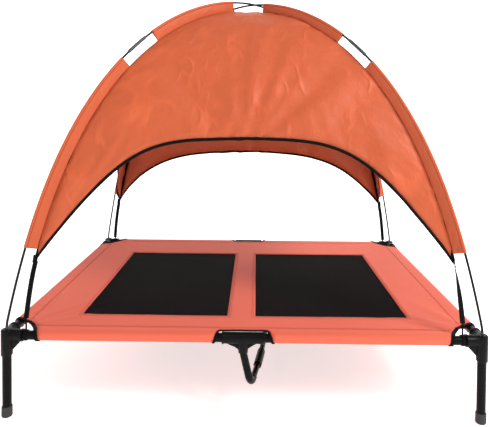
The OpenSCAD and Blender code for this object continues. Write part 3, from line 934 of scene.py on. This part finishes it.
def sleeve_section(rise, puff, seed, start, end):
    """Section of a sleeve: round the rod at its outer edge, with two layers of cloth back to the seam.

    Known fault: each layer starts from the wrong end of the turn, so the section crosses itself just
    inside the rod's surface. The sign of side is the cause.
    """
    r = ROD_R + 0.0016

    def place(turn, k):
        s = start + (end - start) * k
        t = pole_along(rise, s)
        tail = SLEEVE_W + 0.0012 + (seam_at(s) - inside(rise, s, SLEEVE_W)).dot(Vector((t.y, -t.x)))
        loose = 0.0022 * math.sin(math.pi * min(1.0, max(0.0, k))) ** 0.3
        if TAIL_SHARE < turn < 1 - TAIL_SHARE:
            a = math.pi + (turn - 0.5) / TURN_SHARE * ROD_HUG
            x, y = r * math.cos(a), r * math.sin(a)
        else:
            share = min(turn, 1 - turn) / TAIL_SHARE
            side = -1 if turn <= TAIL_SHARE else 1
            a = math.pi + ROD_HUG
            x0, y0 = r * math.cos(a), abs(r * math.sin(a))
            x = tail + (x0 - tail) * share
            y = side * (0.0006 + (y0 - 0.0006) * share ** 1.6 + loose * math.sin(math.pi * share) * 0.8)
            fold = ripple(s * 26 + seed, x * 34, side * 2.0 + seed) * 0.6
            fold += ripple(s * 60 + x * 130, side * 3.0, seed) * 0.4
            y += puff * 1.4 * fold * math.sin(math.pi * min(1, share * 1.05)) ** 0.7
        edge = 0.0004 * ripple(s * 40, turn * 3, seed + 5)
        return x, y + edge
    return place


class PETBED_OT_sleeves(bpy.types.Operator):
    """Makes the pole sleeves, a lower and an upper one along each pole half"""

    bl_idname = "petbed.sleeves"
    bl_label = "Pole sleeves"

    def execute(self, context):
        sizes, _, _ = settings()
        for number, (name, corner) in enumerate(CORNERS.items()):
            rise = RISE[corner[0] * corner[1]]
            spans = {"lower": (SLEEVE_START, GAP_START), "upper": (GAP_END, ARC_HALF - CROWN_GAP)}
            for kind, (a, b) in spans.items():
                bm = bmesh.new()
                rows = [pole_station(corner, rise, s) for s in arcs(a, b, 0.0045)]
                seed = 3.7 * number + (1.9 if kind == "upper" else 0.0)
                add_tube(bm, rows, sleeve_section(rise, sizes.sleeve_puff, seed, a, b), 44, caps=False)
                piece = new_piece(f"pole_sleeve_{kind}_{name}", bm, sleeve_cloth())
                thicken(piece, 0.0006)
                apply_modifiers(piece)
                done(piece, CANOPY, "canopy_fabric", f"{kind}_sleeve_{name}")
        return {"FINISHED"}


class PETBED_OT_poles(bpy.types.Operator):
    """Makes the rods, their ferrules and tips"""

    bl_idname = "petbed.poles"
    bl_label = "Poles"

    def execute(self, context):
        for sign, name in ((1, "pole_a"), (-1, "pole_b")):
            bm = bmesh.new()
            ends = [corner for corner in CORNERS.values() if corner[0] * corner[1] == sign]
            for corner in ends:
                rows = [pole_station(corner, RISE[sign], s) for s in arcs(0.004, JOINT_ARC - 0.0005, 0.012)]
                add_tube(bm, rows, circle(ROD_R), 16)
            near = [pole_station(ends[0], RISE[sign], s) for s in arcs(JOINT_ARC + 0.0005, ARC_HALF, 0.012)]
            far = [pole_station(ends[1], RISE[sign], s) for s in arcs(JOINT_ARC + 0.0005, ARC_HALF, 0.012)]
            points = [row[0] for row in near] + [row[0] for row in reversed(far[:-1])]
            add_tube(bm, framed(points, diagonal_side(ends[0])), circle(ROD_R), 16)
            done(new_piece("rods_" + name, bm, pole_rod()), CANOPY, "pole_fibreglass", name)
        self.ferrules()
        self.tips()
        return {"FINISHED"}

    def ferrules(self):
        bm = bmesh.new()
        half = 0.036

        def section(turn, k):
            along = abs(2 * k - 1)
            r = 0.0047 if along < 0.86 else 0.0047 - 0.0012 * ((along - 0.86) / 0.14) ** 1.5
            r += 0.0002 if 0.62 < along < 0.68 else 0.0
            return r * math.cos(2 * math.pi * turn), r * math.sin(2 * math.pi * turn)

        for corner in CORNERS.values():
            rise = RISE[corner[0] * corner[1]]
            add_tube(bm, [pole_station(corner, rise, s)
                          for s in arcs(JOINT_ARC - half, JOINT_ARC + half, 0.0018)],
                     section, 20)
        done(new_piece("pole_ferrules", bm, pole_metal()), CANOPY, "pole_metal", "ferrules")

    def tips(self):
        bm = bmesh.new()
        low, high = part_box("pole_tips")
        for corner in CORNERS.values():
            centre = Vector((corner[0] * HALF_X, corner[1] * HALF_Y, low.z))
            length = high.z - low.z
            rows = [(centre + Vector((0, 0, length * i / 24)), Vector((1, 0, 0)), Vector((0, 1, 0)),
                     length * i / 24)
                    for i in range(25)]

            def section(turn, k):
                r = ROD_R + 0.0002 - (0.0012 * (1 - k / 0.1) ** 2 if k < 0.1 else 0)
                return r * math.cos(2 * math.pi * turn), r * math.sin(2 * math.pi * turn)

            add_tube(bm, rows, section, 20)
        done(new_piece("pole_tip_caps", bm, pole_metal()), CANOPY, "pole_metal", "pole_tips")


class PETBED_OT_straps(bpy.types.Operator):
    """Makes the webbing straps, their sewn tabs and the loops on the rails"""

    bl_idname = "petbed.straps"
    bl_label = "Straps and loops"

    def execute(self, context):
        width, thick = 0.013, 0.0015
        for name, corner in CORNERS.items():
            low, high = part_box("strap_" + name)
            tip = spot(corner, seam_at(TIP_ARC - 0.001))
            foot = Vector((corner[0] * LOOP_X[corner[1]], corner[1] * HALF_Y, low.z))
            bow = Vector((0.002 * corner[0], 0, 0))
            points = smooth_path([tip, tip.lerp(foot, 0.25) + bow, tip.lerp(foot, 0.6) + bow, foot], 12)
            twist = math.radians(70 if name == "front_right" else 4)
            flat_on = Vector((1, 0, 0))

            def hint(k, twist=twist, corner=corner):
                angle = twist * (1 - ease(k * 1.15)) * corner[0]
                return Matrix.Rotation(angle, 3, "Z") @ flat_on

            bm = bmesh.new()
            add_tube(bm, framed(points, hint), strip(width, thick), 16)
            self.tab(bm, tip, corner, hint(0.0), width)
            done(new_piece("webbing_" + name, bm, strap_webbing()), CANOPY, "webbing", "strap_" + name)
        self.loops()
        return {"FINISHED"}

    def tab(self, bm, tip, corner, across, width):
        """The strap's end, folded over the canopy's tip and sewn."""
        up = (spot(corner, seam_at(TIP_ARC + 0.02)) - tip).normalized()
        out = Vector((corner[0], corner[1], 0)).normalized() * 0.0022
        points = [tip - up * 0.004 + out, tip + up * 0.006 + out, tip + up * 0.016 + out]
        add_tube(bm, framed(smooth_path(points, 4), across), strip(width, 0.0016), 12)

    def loops(self):
        """Hook-and-loop bands round the front rail and the rear fittings' arms, each with its neck."""
        bm = bmesh.new()
        width, thick = 0.009, 0.0012
        for name, corner in CORNERS.items():
            centre = Vector((corner[0] * LOOP_X[corner[1]], corner[1] * HALF_Y, RAIL_Z))
            r = RAIL_R + 0.0012 if corner[1] < 0 else ARM_R + 0.0007
            drop = 0.0 if corner[1] < 0 else 0.0157
            turns = [math.radians(90 + corner[1] * 6 + i * 10) for i in range(36)]
            ring = [centre + self.band(a, r + 0.0005 * ease(i / 35), drop) for i, a in enumerate(turns)]
            add_tube(bm, framed(ring, Vector((1, 0, 0))), strip(width, thick), 12)
            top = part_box("strap_" + name)[0].z - 0.0003
            neck = [centre + Vector((0, corner[1] * 0.003, r)), centre + Vector((0, 0.0006, r + 0.004)),
                    Vector((centre.x, centre.y, top))]
            add_tube(bm, framed(smooth_path(neck, 6), Vector((1, 0, 0))), strip(0.0042, 0.0024), 12)
        done(new_piece("rail_bands", bm, strap_webbing()), FRAME, "webbing", "rail_loops")

    def band(self, a, r, drop):
        """A point of a band at turn a, which is drawn down by drop under the arm, to go round its gusset."""
        y, z = r * math.cos(a), r * math.sin(a)
        down = max(0.0, -math.sin(a))
        return Vector((0, y * (1 - 0.72 * down ** 2 * (drop > 0)), z - drop * down ** 2))


# ---- deck ----
SKIN = 0.0012
WRAP_R = RAIL_R + 0.0003 + SKIN
# The cloth goes this far round a rail and then runs back under the deck
WRAP_TURN, WRAP_BACK, BACK_SLOPE = math.radians(215), 0.036, math.radians(34)
CUT_ROUND = 0.015
CUT_TAPER = 0.30
# How far from a leg the folds reach
CORNER_PULL = 0.42


def wrap(d):
    """The cloth's (outward, up) place from a rail's centre, d along it outwards from above the centre."""
    if d <= 0:
        return d, WRAP_R
    if d < WRAP_R * WRAP_TURN:
        a = d / WRAP_R
        return WRAP_R * math.sin(a), WRAP_R * math.cos(a)
    x, z = WRAP_R * math.sin(WRAP_TURN), WRAP_R * math.cos(WRAP_TURN)
    run = d - WRAP_R * WRAP_TURN
    return x - run * math.cos(BACK_SLOPE), min(WRAP_R - 0.0022, z + run * math.sin(BACK_SLOPE))


def wrap_length():
    return WRAP_R * WRAP_TURN + WRAP_BACK


def corner_distance(p, q):
    """Distance past the cut at a corner, for cloth p and q in from its leg; below 0 is cut away."""
    return math.hypot(max(0.0, p + CUT_CENTRE), max(0.0, q + CUT_CENTRE)) - CORNER_CUT_R


def cut_half_width(q):
    """Half the centre cut's width: it widens under the rail."""
    return CUT_HALF_W - 0.002 + CUT_TAPER * max(0.0, -q)


def centre_distance(a, q):
    """Distance past the cut at the middle of a long rail, for cloth at a across and q in from the rail."""
    half, depth, r = cut_half_width(q), CUT_DEPTH, CUT_ROUND
    dx, dy = abs(a) - (half - r), q - (depth - r)
    if dx > 0 and dy > 0:
        return math.hypot(dx, dy) - r
    return max(abs(a) - half, q - depth)


def deck_dip(x, y):
    """Height of the deck cloth over its flat plane: a slight sag, hems, and pulls from the corners."""
    _, sizes, _ = settings()
    ex, ey = 1 - (x / HALF_X) ** 2, 1 - (y / HALF_Y) ** 2
    z = -sizes.sag * max(0.0, ex) ** 0.7 * max(0.0, ey) ** 0.7
    for sx in (-1, 1):
        for sy in (-1, 1):
            p, q = HALF_X - sx * x, HALF_Y - sy * y
            far, around = math.hypot(p, q), math.atan2(q, p)
            if far < CORNER_PULL and 0 < around < math.pi / 2:
                pull = (ripple(around * 7.5 + 9 * sx, far * 2.2, 4.0 * sy)
                        + 0.6 * ripple(around * 17, far * 4, sx + 7 * sy))
                z += 0.0034 * pull * math.exp(-((far - 0.075) / 0.15) ** 2) * math.sin(2 * around) ** 0.5
    inner_x, inner_y = HALF_X - abs(x), HALF_Y - abs(y)
    for inner, along in ((inner_y, x), (inner_x, y)):
        gap = (inner - sizes.hem) / 0.0045
        if abs(gap) < 4:
            z -= (0.0010 + 0.0005 * ripple(along * 55, inner * 20, 2.0)) * math.exp(-gap * gap)
        if 0.0 < inner < 0.09:
            pucker = (ripple(along * 38, inner * 9, 5.0) * 0.0009
                      + ripple(along * 90, inner * 12, 8.0) * 0.0005)
            z += pucker * math.exp(-((inner - sizes.hem) / 0.02) ** 2)
    z += 0.0006 * ripple(x * 6, y * 6, 1.0) + 0.0004 * ripple(x * 18, y * 9, 3.0)
    return z * ease(min(inner_x, inner_y) / 0.02 + 0.15) if min(inner_x, inner_y) > 0 else 0.0


def deck_point(a, b, lift=0.0):
    """Place of the deck cloth's point that lies a across and b back when the cloth is flat."""
    past_x, past_y = abs(a) - HALF_X, abs(b) - HALF_Y
    if past_x > 0 and past_x >= past_y:
        out, up = wrap(past_x)
        base = Vector((math.copysign(HALF_X + out, a), b, RAIL_Z + up))
        return base + outward_normal(past_x, a, True) * lift
    if past_y > 0:
        out, up = wrap(past_y)
        base = Vector((a, math.copysign(HALF_Y + out, b), RAIL_Z + up))
        return base + outward_normal(past_y, b, False) * lift
    return Vector((a, b, RAIL_Z + WRAP_R + deck_dip(a, b) + lift))


def outward_normal(past, sign, in_x):
    turn = min(past / WRAP_R, WRAP_TURN)
    side = math.copysign(1, sign) * math.sin(turn)
    return Vector((side, 0, math.cos(turn))) if in_x else Vector((0, side, math.cos(turn)))


def lines(stops, pitch):
    """Positions from the first stop to the last that pass through every stop, about pitch apart."""
    found = [stops[0]]
    for a, b in zip(stops, stops[1:]):
        count = max(1, round((b - a) / pitch))
        found += [a + (b - a) * (i + 1) / count for i in range(count)]
    return found


def deck_lines(pitch, hem):
    edge = wrap_length()
    (low, high), (right_low, right_high) = WINDOWS["left"], WINDOWS["right"]
    x = [-HALF_X - edge, -HALF_X, hem - HALF_X, low.x, high.x, right_low.x, right_high.x,
         HALF_X - hem, HALF_X, HALF_X + edge]
    y = [-HALF_Y - edge, -HALF_Y, hem - HALF_Y, low.y, high.y, HALF_Y - hem, HALF_Y, HALF_Y + edge]
    return lines(x, pitch), lines(y, pitch)


def cut_distance(a, b):
    """Distance of flat cloth past every cut; below 0 there is no cloth."""
    p, q = HALF_X - abs(a), HALF_Y - abs(b)
    return min(corner_distance(p, q), centre_distance(a, q))


def in_window(a, b):
    return any(low.x < a < high.x and low.y < b < high.y for low, high in WINDOWS.values())


def trim_to_cuts(bm, flat_of, pitch):
    """Removes faces inside the cuts, and moves the new edge's points onto the cut lines."""
    gone = [f for f in bm.faces if cut_distance(*mean(flat_of[v] for v in f.verts)) < 0]
    bmesh.ops.delete(bm, geom=gone, context="FACES")
    for v in [v for v in bm.verts if v.is_boundary]:
        a, b = flat_of[v]
        far = cut_distance(a, b)
        if abs(far) < pitch * 0.9 and max(abs(a) - HALF_X, abs(b) - HALF_Y) < wrap_length() - 0.001:
            e = 0.0004
            ga = (cut_distance(a + e, b) - cut_distance(a - e, b)) / (2 * e)
            gb = (cut_distance(a, b + e) - cut_distance(a, b - e)) / (2 * e)
            size = ga * ga + gb * gb
            if size > 0.2:
                flat_of[v] = (a - far * ga / size, b - far * gb / size)


def mean(points):
    points = list(points)
    return sum(p[0] for p in points) / len(points), sum(p[1] for p in points) / len(points)


class PETBED_OT_deck(bpy.types.Operator):
    """Makes the deck cloth with its rail sleeves, cuts and mesh windows"""

    bl_idname = "petbed.deck"
    bl_label = "Deck cloth"

    def execute(self, context):
        _, sizes, _ = settings()
        xs, ys = deck_lines(sizes.pitch, sizes.hem)
        bm = bmesh.new()
        layer = bm.loops.layers.uv.verify()
        made = bmesh.ops.create_grid(bm, x_segments=len(xs) - 1, y_segments=len(ys) - 1, size=0.5)["verts"]
        flat_of = {v: (xs[round((v.co.x + 0.5) * (len(xs) - 1))], ys[round((v.co.y + 0.5) * (len(ys) - 1))])
                   for v in made}
        windows = [f for f in bm.faces if in_window(*mean(flat_of[v] for v in f.verts))]
        bmesh.ops.delete(bm, geom=windows, context="FACES")
        trim_to_cuts(bm, flat_of, sizes.pitch)
        for face in bm.faces:
            for loop in face.loops:
                loop[layer].uv = flat_of[loop.vert]
        for v in bm.verts:
            v.co = Vector((*flat_of[v], 0))
        area = sum(f.calc_area() for f in bm.faces)
        for v in bm.verts:
            v.co = deck_point(*flat_of[v])
        deck = new_piece("deck_sheet", bm, deck_cloth())
        thicken(deck, SKIN)
        apply_modifiers(deck)
        done(deck, FRAME, "deck_fabric", "bed_sheet")
        stitches = self.stitching(sizes)
        round(xs[-1] - xs[0], 2)
        round(ys[-1] - ys[0], 2)
        for name, (low, high) in WINDOWS.items():
            self.window(name, low, high, sizes.pitch)
        return {"FINISHED"}

    def window(self, name, low, high, pitch):
        lap = 0.012
        low = low.x - lap, low.y - lap
        size = high.x + lap - low[0], high.y + lap - low[1]

        def flat(u, v):
            return low[0] + size[0] * u, low[1] + size[1] * v

        def place(u, v):
            x, y = flat(u, v)
            return deck_point(x, y, -SKIN - 0.0005) + Vector((0, 0, 0.0003 * ripple(x * 30, y * 30, 6)))

        bm = bmesh.new()
        place_grid(bm, round(size[0] / pitch), round(size[1] / pitch), place, flat)
        outward(bm)
        piece = new_piece("window_mesh_" + name, bm, window_mesh())
        thicken(piece, 0.0006)
        apply_modifiers(piece)
        done(piece, FRAME, "deck_mesh", "mesh_window_" + name)

    def stitching(self, sizes):
        """Sewn lines round the hems and the windows, as short raised stitches."""
        bm = bmesh.new()
        hem, step = sizes.hem, sizes.stitch
        runs = []
        for off in (0.0, 0.004):
            x, y = HALF_X - hem - off, HALF_Y - hem - off
            runs += [((-x, -y), (x, -y)), ((-x, y), (x, y)), ((-x, -y), (-x, y)), ((x, -y), (x, y))]
        for low, high in WINDOWS.values():
            for off in (0.004, 0.009):
                x0, x1 = low.x - off, high.x + off
                y0, y1 = low.y - off, high.y + off
                runs += [((x0, y0), (x1, y0)), ((x0, y1), (x1, y1)),
                         ((x0, y0), (x0, y1)), ((x1, y0), (x1, y1))]
        for start, end in runs:
            length = math.hypot(end[0] - start[0], end[1] - start[1])
            for i in range(round(length / step)):
                k = (i + 0.5) * step / length
                a, b = start[0] + (end[0] - start[0]) * k, start[1] + (end[1] - start[1]) * k
                if cut_distance(a, b) > 0.004:
                    self.stitch(bm, a, b, abs(end[0] - start[0]) > abs(end[1] - start[1]), step * 0.62)
        piece = new_piece("deck_stitches", bm, sewing_thread())
        return done(piece, FRAME, "deck_fabric")

    def stitch(self, bm, a, b, in_x, length):
        """One stitch: a small block, nearly half of it sunk in the cloth."""
        made = bmesh.ops.create_cube(bm, size=1.0)["verts"]
        at = deck_point(a, b, 0.0001)
        turn = Matrix.Rotation(0 if in_x else math.pi / 2, 3, "Z")
        for v in made:
            flat = Vector((v.co.x * length, v.co.y * 0.0012, v.co.z * 0.0010))
            v.co = at + turn @ flat


def tape_along(name, line, width, thick, node):
    """Folded tape over a cut edge: line(v) gives the flat point and the direction in from the edge."""
    bm = bmesh.new()
    across, along = 6, 72

    def flat_at(u, v):
        (a, b), (da, db) = line(v)
        return a + da * width * u, b + db * width * u

    def place(u, v):
        return deck_point(*flat_at(u, v))

    def flat(u, v):
        return u * width, v * 0.3

    place_grid(bm, across, along, place, flat)
    outward(bm)
    up = sum((f.normal.z for f in bm.faces if f.calc_center_median().z > RAIL_Z + WRAP_R * 0.9), 0.0)
    if up < 0:
        bmesh.ops.reverse_faces(bm, faces=bm.faces)
    piece = new_piece(name, bm, edge_tape())
    thicken(piece, thick, 0.2)
    soften(piece, 0.0008, 3)
    apply_modifiers(piece)
    return done(piece, FRAME, "binding", node)


class PETBED_OT_bindings(bpy.types.Operator):
    """Binds the deck's cut edges with black tape"""

    bl_idname = "petbed.bindings"
    bl_label = "Deck bindings"

    def execute(self, context):
        wrap_end = WRAP_R * math.radians(200)
        for name, (sx, sy) in CORNERS.items():
            tape_along("corner_tape_" + name, self.corner_line(sx, sy, wrap_end), 0.0090, 0.0030,
                       "corner_binding_" + name)
        for name, sy in (("front", -1), ("rear", 1)):
            tape_along("centre_tape_" + name, self.centre_line(sy, wrap_end), 0.0066, 0.0028,
                       "centre_binding_" + name)
        return {"FINISHED"}

    def corner_line(self, sx, sy, wrap_end):
        """From under the long rail, round the corner's arc, to under the side rail, inside the cut."""
        start = math.asin((CUT_CENTRE - wrap_end) / CORNER_CUT_R)

        def line(v):
            a = start + (math.pi / 2 - 2 * start) * v
            p, q = CORNER_CUT_R * math.cos(a) - CUT_CENTRE, CORNER_CUT_R * math.sin(a) - CUT_CENTRE
            return (sx * (HALF_X - p), sy * (HALF_Y - q)), (sx * math.cos(a), sy * math.sin(a))
        return line

    def centre_line(self, sy, wrap_end):
        half, depth, r = cut_half_width(0.0), CUT_DEPTH, CUT_ROUND
        arc = r * math.pi / 2
        legs = wrap_end + depth - r
        flat_run = 2 * (half - r)
        total = 2 * legs + 2 * arc + flat_run

        def side(run):
            if run < legs:
                q = run - wrap_end
                return cut_half_width(q), q, (-1.0, 0.0)
            if run < legs + arc:
                a = (run - legs) / r
                return (half - r + r * math.cos(a), depth - r + r * math.sin(a),
                        (-math.cos(a), -math.sin(a)))
            return half - r - (run - legs - arc), depth, (0.0, -1.0)

        def line(v):
            run = v * total
            mirror = 1.0
            if run > total / 2:
                run, mirror = total - run, -1.0
            a, q, (da, dq) = side(run)
            return (-mirror * a, sy * (HALF_Y - q)), (-mirror * da, -sy * dq)
        return line


# ---- frame finishes ----
EDGE_ROUND = 0.0007


def refined(node, name):
    """A copy of a moulded CAD node with its loose triangles merged and its edges rounded."""
    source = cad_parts[node]
    bm = bmesh.new()
    bm.from_mesh(source.data)
    bmesh.ops.remove_doubles(bm, verts=bm.verts, dist=0.000005)
    bmesh.ops.dissolve_limit(bm, angle_limit=math.radians(1.0), verts=bm.verts, edges=bm.edges)
    piece = new_piece(name, bm, moulded_plastic())
    soften(piece, EDGE_ROUND, 2, 40)
    apply_modifiers(piece)
    return done(piece, FRAME, "fitting_plastic", node)


class PETBED_OT_fittings(bpy.types.Operator):
    """Rounds the edges of the moulded fittings and gives them their finish"""

    bl_idname = "petbed.fittings"
    bl_label = "Moulded fittings"

    def execute(self, context):
        for name in CORNERS:
            refined("corner_fitting_" + name, "fitting_" + name)
        for name in ("front", "rear"):
            refined("centre_tee_" + name, "tee_" + name)
        return {"FINISHED"}


class PETBED_OT_tubes(bpy.types.Operator):
    """Gives the legs, rails and feet their finish and makes the centre brace"""

    bl_idname = "petbed.tubes"
    bl_label = "Tubes, feet and brace"

    def execute(self, context):
        for node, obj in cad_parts.items():
            if node.startswith(("leg_", "rail_front", "rail_rear", "rail_side")):
                self.finish(obj, powder_coat(), "coated_steel")
            if node.startswith("foot_cap"):
                self.finish(obj, foot_rubber(), "foot_rubber")
        self.brace()
        return {"FINISHED"}

    def finish(self, obj, material, slot):
        obj.data.materials.clear()
        obj.data.materials.append(material)

    def brace(self):
        """Makes the brace: out of each tee's stem, round a bend and along under the deck."""
        low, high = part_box("brace_tube")
        r = (high.z - low.z) / 2
        z_run, joint = (low.z + high.z) / 2, high.y
        stem_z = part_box("centre_tee_front")[0].z
        lean, bow, bend = 0.019, 0.046, 0.024

        def at(y, z):
            x = lean * min(1.0, max(0.0, (stem_z - z) / (stem_z - z_run))) + bow * (1 - (y / HALF_Y) ** 2)
            return Vector((x, y, z))

        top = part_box("brace_elbow_front")[1].z
        arm = [at(-HALF_Y, top + (z_run + bend - top) * i / 10) for i in range(10)]
        turn = [at(-HALF_Y + bend * (1 - math.cos(a)), z_run + bend * (1 - math.sin(a)))
                for a in (math.radians(6 * i) for i in range(16))]
        near = -joint - 0.001
        step = -HALF_Y + bend + 0.010
        thick_end = [at(step - 0.004, z_run), at(step, z_run), at(step + 0.0005, z_run)]
        run = [at(step + 0.002 + (near - step - 0.002) * i / 5, z_run) for i in range(6)]
        flip = Matrix.Diagonal((1, -1, 1))
        path = arm + turn + thick_end + run
        thick_share = (len(arm + turn) + 1.5) / (len(path) - 1)

        def arm_section(angle, k):
            radius = r + 0.002 if k < thick_share else r
            return radius * math.cos(2 * math.pi * angle), radius * math.sin(2 * math.pi * angle)

        for name, points in (("front", path), ("rear", [flip @ p for p in path])):
            bm = bmesh.new()
            add_tube(bm, framed(points, Vector((1, 0, 0))), arm_section, 24)
            done(new_piece("brace_bend_" + name, bm, powder_coat()), FRAME, "coated_steel",
                 "brace_elbow_" + name)
        bm = bmesh.new()
        add_tube(bm, framed([at(-joint + 2 * joint * i / 40, z_run) for i in range(41)], Vector((1, 0, 0))),
                 circle(r), 24)
        done(new_piece("brace_middle", bm, powder_coat()), FRAME, "coated_steel", "brace_tube")
        bm = bmesh.new()
        half = 0.042

        def collar(turn, k):
            along = abs(2 * k - 1)
            radius = 0.0108 if along < 0.9 else 0.0108 - 0.0022 * ((along - 0.9) / 0.1) ** 2
            radius -= 0.0005 if 0.70 < along < 0.76 else 0.0
            return radius * math.cos(2 * math.pi * turn), radius * math.sin(2 * math.pi * turn)

        for sign in (-1, 1):
            points = [at(sign * (joint + 0.001) - half + 2 * half * i / 50, z_run) for i in range(51)]
            add_tube(bm, framed(points, Vector((1, 0, 0))), collar, 28)
        done(new_piece("brace_couplings", bm, moulded_plastic()), FRAME, "fitting_plastic", "brace_sleeves")


class PETBED_OT_stage(bpy.types.Operator):
    """Sets the camera, the pale floor and the soft studio light"""

    bl_idname = "petbed.stage"
    bl_label = "Camera, floor and light"

    def execute(self, context):
        scene = context.scene
        lens = bpy.data.cameras.new("camera")
        lens.lens, lens.shift_x, lens.shift_y = 37.36, -0.0102, -0.1908
        lens.clip_end = 50
        camera = bpy.data.objects.new("camera", lens)
        camera.location = (0.0275, -1.6999, 0.7843)
        camera.rotation_euler = [math.radians(a) for a in (88.536, -0.430, 0.676)]
        scene.collection.objects.link(camera)
        scene.camera = camera
        self.floor()
        self.light("key", (2.4, -1.9, 2.7), 1.1, 105, (1.0, 0.985, 0.97))
        self.light("fill", (-2.6, -1.6, 1.5), 2.4, 12, (0.97, 0.985, 1.0))
        self.light("rim", (0.6, 2.6, 2.4), 2.4, 26, (1.0, 1.0, 1.0))
        world = bpy.data.worlds.new("studio")
        world.use_nodes = True
        world.node_tree.nodes["Background"].inputs["Color"].default_value = (1.0, 1.0, 1.0, 1)
        world.node_tree.nodes["Background"].inputs["Strength"].default_value = 0.55
        scene.world = world
        scene.view_settings.view_transform = "Standard"
        return {"FINISHED"}

    def floor(self):
        """A pale sheet that lies flat under the bed and curves up far behind it. It glows as painted light,
        dimmer near the bed and brighter far away.
        """
        bm = bmesh.new()
        made = bmesh.ops.create_grid(bm, x_segments=2, y_segments=48, size=9)["verts"]
        for v in made:
            past = v.co.y - 4.0
            if past > 0:
                a = min(past / 2.5, math.pi / 2)
                v.co.y = 4.0 + 2.5 * math.sin(a)
                v.co.z = 2.5 * (1 - math.cos(a)) + max(0.0, past - 2.5 * math.pi / 2)
        f = Finish("studio_floor")
        place = f.coords()
        x, y, z = f.axes(place)
        speckle = f.cloud(place, 40.0, 4.0)
        colour = f.mix(speckle, (0.90, 0.90, 0.90), (0.93, 0.93, 0.93))
        away = ((x * x + y * y) ** 0.5 + z - 1.1).most(0.0).least(1.2) * (1 / 1.2)
        # The floor glows as painted light: dimmer near the bed, brighter far away.
        glow = f.mix(away, (0.60, 0.60, 0.60), (0.90, 0.90, 0.90))
        floor = new_piece("floor", bm, f.surface(colour=colour, rough=0.8, level=0.05, glow=glow,
                                                 glow_strength=1.0))

    def light(self, name, place, size, power, colour):
        lamp = bpy.data.lights.new(name, "AREA")
        lamp.size, lamp.energy, lamp.color = size, power, colour
        made = bpy.data.objects.new(name, lamp)
        made.location = place
        made.rotation_euler = (Vector((0, 0, 0.55)) - Vector(place)).to_track_quat("-Z", "Y").to_euler()
        bpy.context.scene.collection.objects.link(made)


class PETBED_PT_panel(bpy.types.Panel):
    """Lists the bed's sizes, colours and steps"""

    bl_label = "Pet bed"
    bl_idname = "PETBED_PT_panel"
    bl_space_type = "VIEW_3D"
    bl_region_type = "UI"
    bl_category = "Pet bed"

    def draw(self, context):
        for group in settings():
            for key in group.bl_rna.properties.keys():
                if key not in ("rna_type", "name"):
                    self.layout.prop(group, key)
        for step in STEPS:
            self.layout.operator(step.bl_idname)


GROUPS = {"petbed_canopy": PETBED_PG_canopy, "petbed_deck": PETBED_PG_deck,
          "petbed_colours": PETBED_PG_colours}
STEPS = (PETBED_OT_stage, PETBED_OT_canopy, PETBED_OT_seams, PETBED_OT_sleeves, PETBED_OT_poles,
         PETBED_OT_straps, PETBED_OT_deck, PETBED_OT_bindings, PETBED_OT_fittings, PETBED_OT_tubes)


def register():
    for group in GROUPS.values():
        bpy.utils.register_class(group)
    for step in (*STEPS, PETBED_PT_panel):
        bpy.utils.register_class(step)
    for name, group in GROUPS.items():
        setattr(bpy.types.Scene, name, PointerProperty(type=group))


def unregister():
    for name in GROUPS:
        delattr(bpy.types.Scene, name)
    for step in (PETBED_PT_panel, *reversed(STEPS)):
        bpy.utils.unregister_class(step)
    for group in GROUPS.values():
        bpy.utils.unregister_class(group)


def main():
    register()
    for step in STEPS:
        area, name = step.bl_idname.split(".")
        getattr(getattr(bpy.ops, area), name)()


if __name__ == "__main__":
    main()
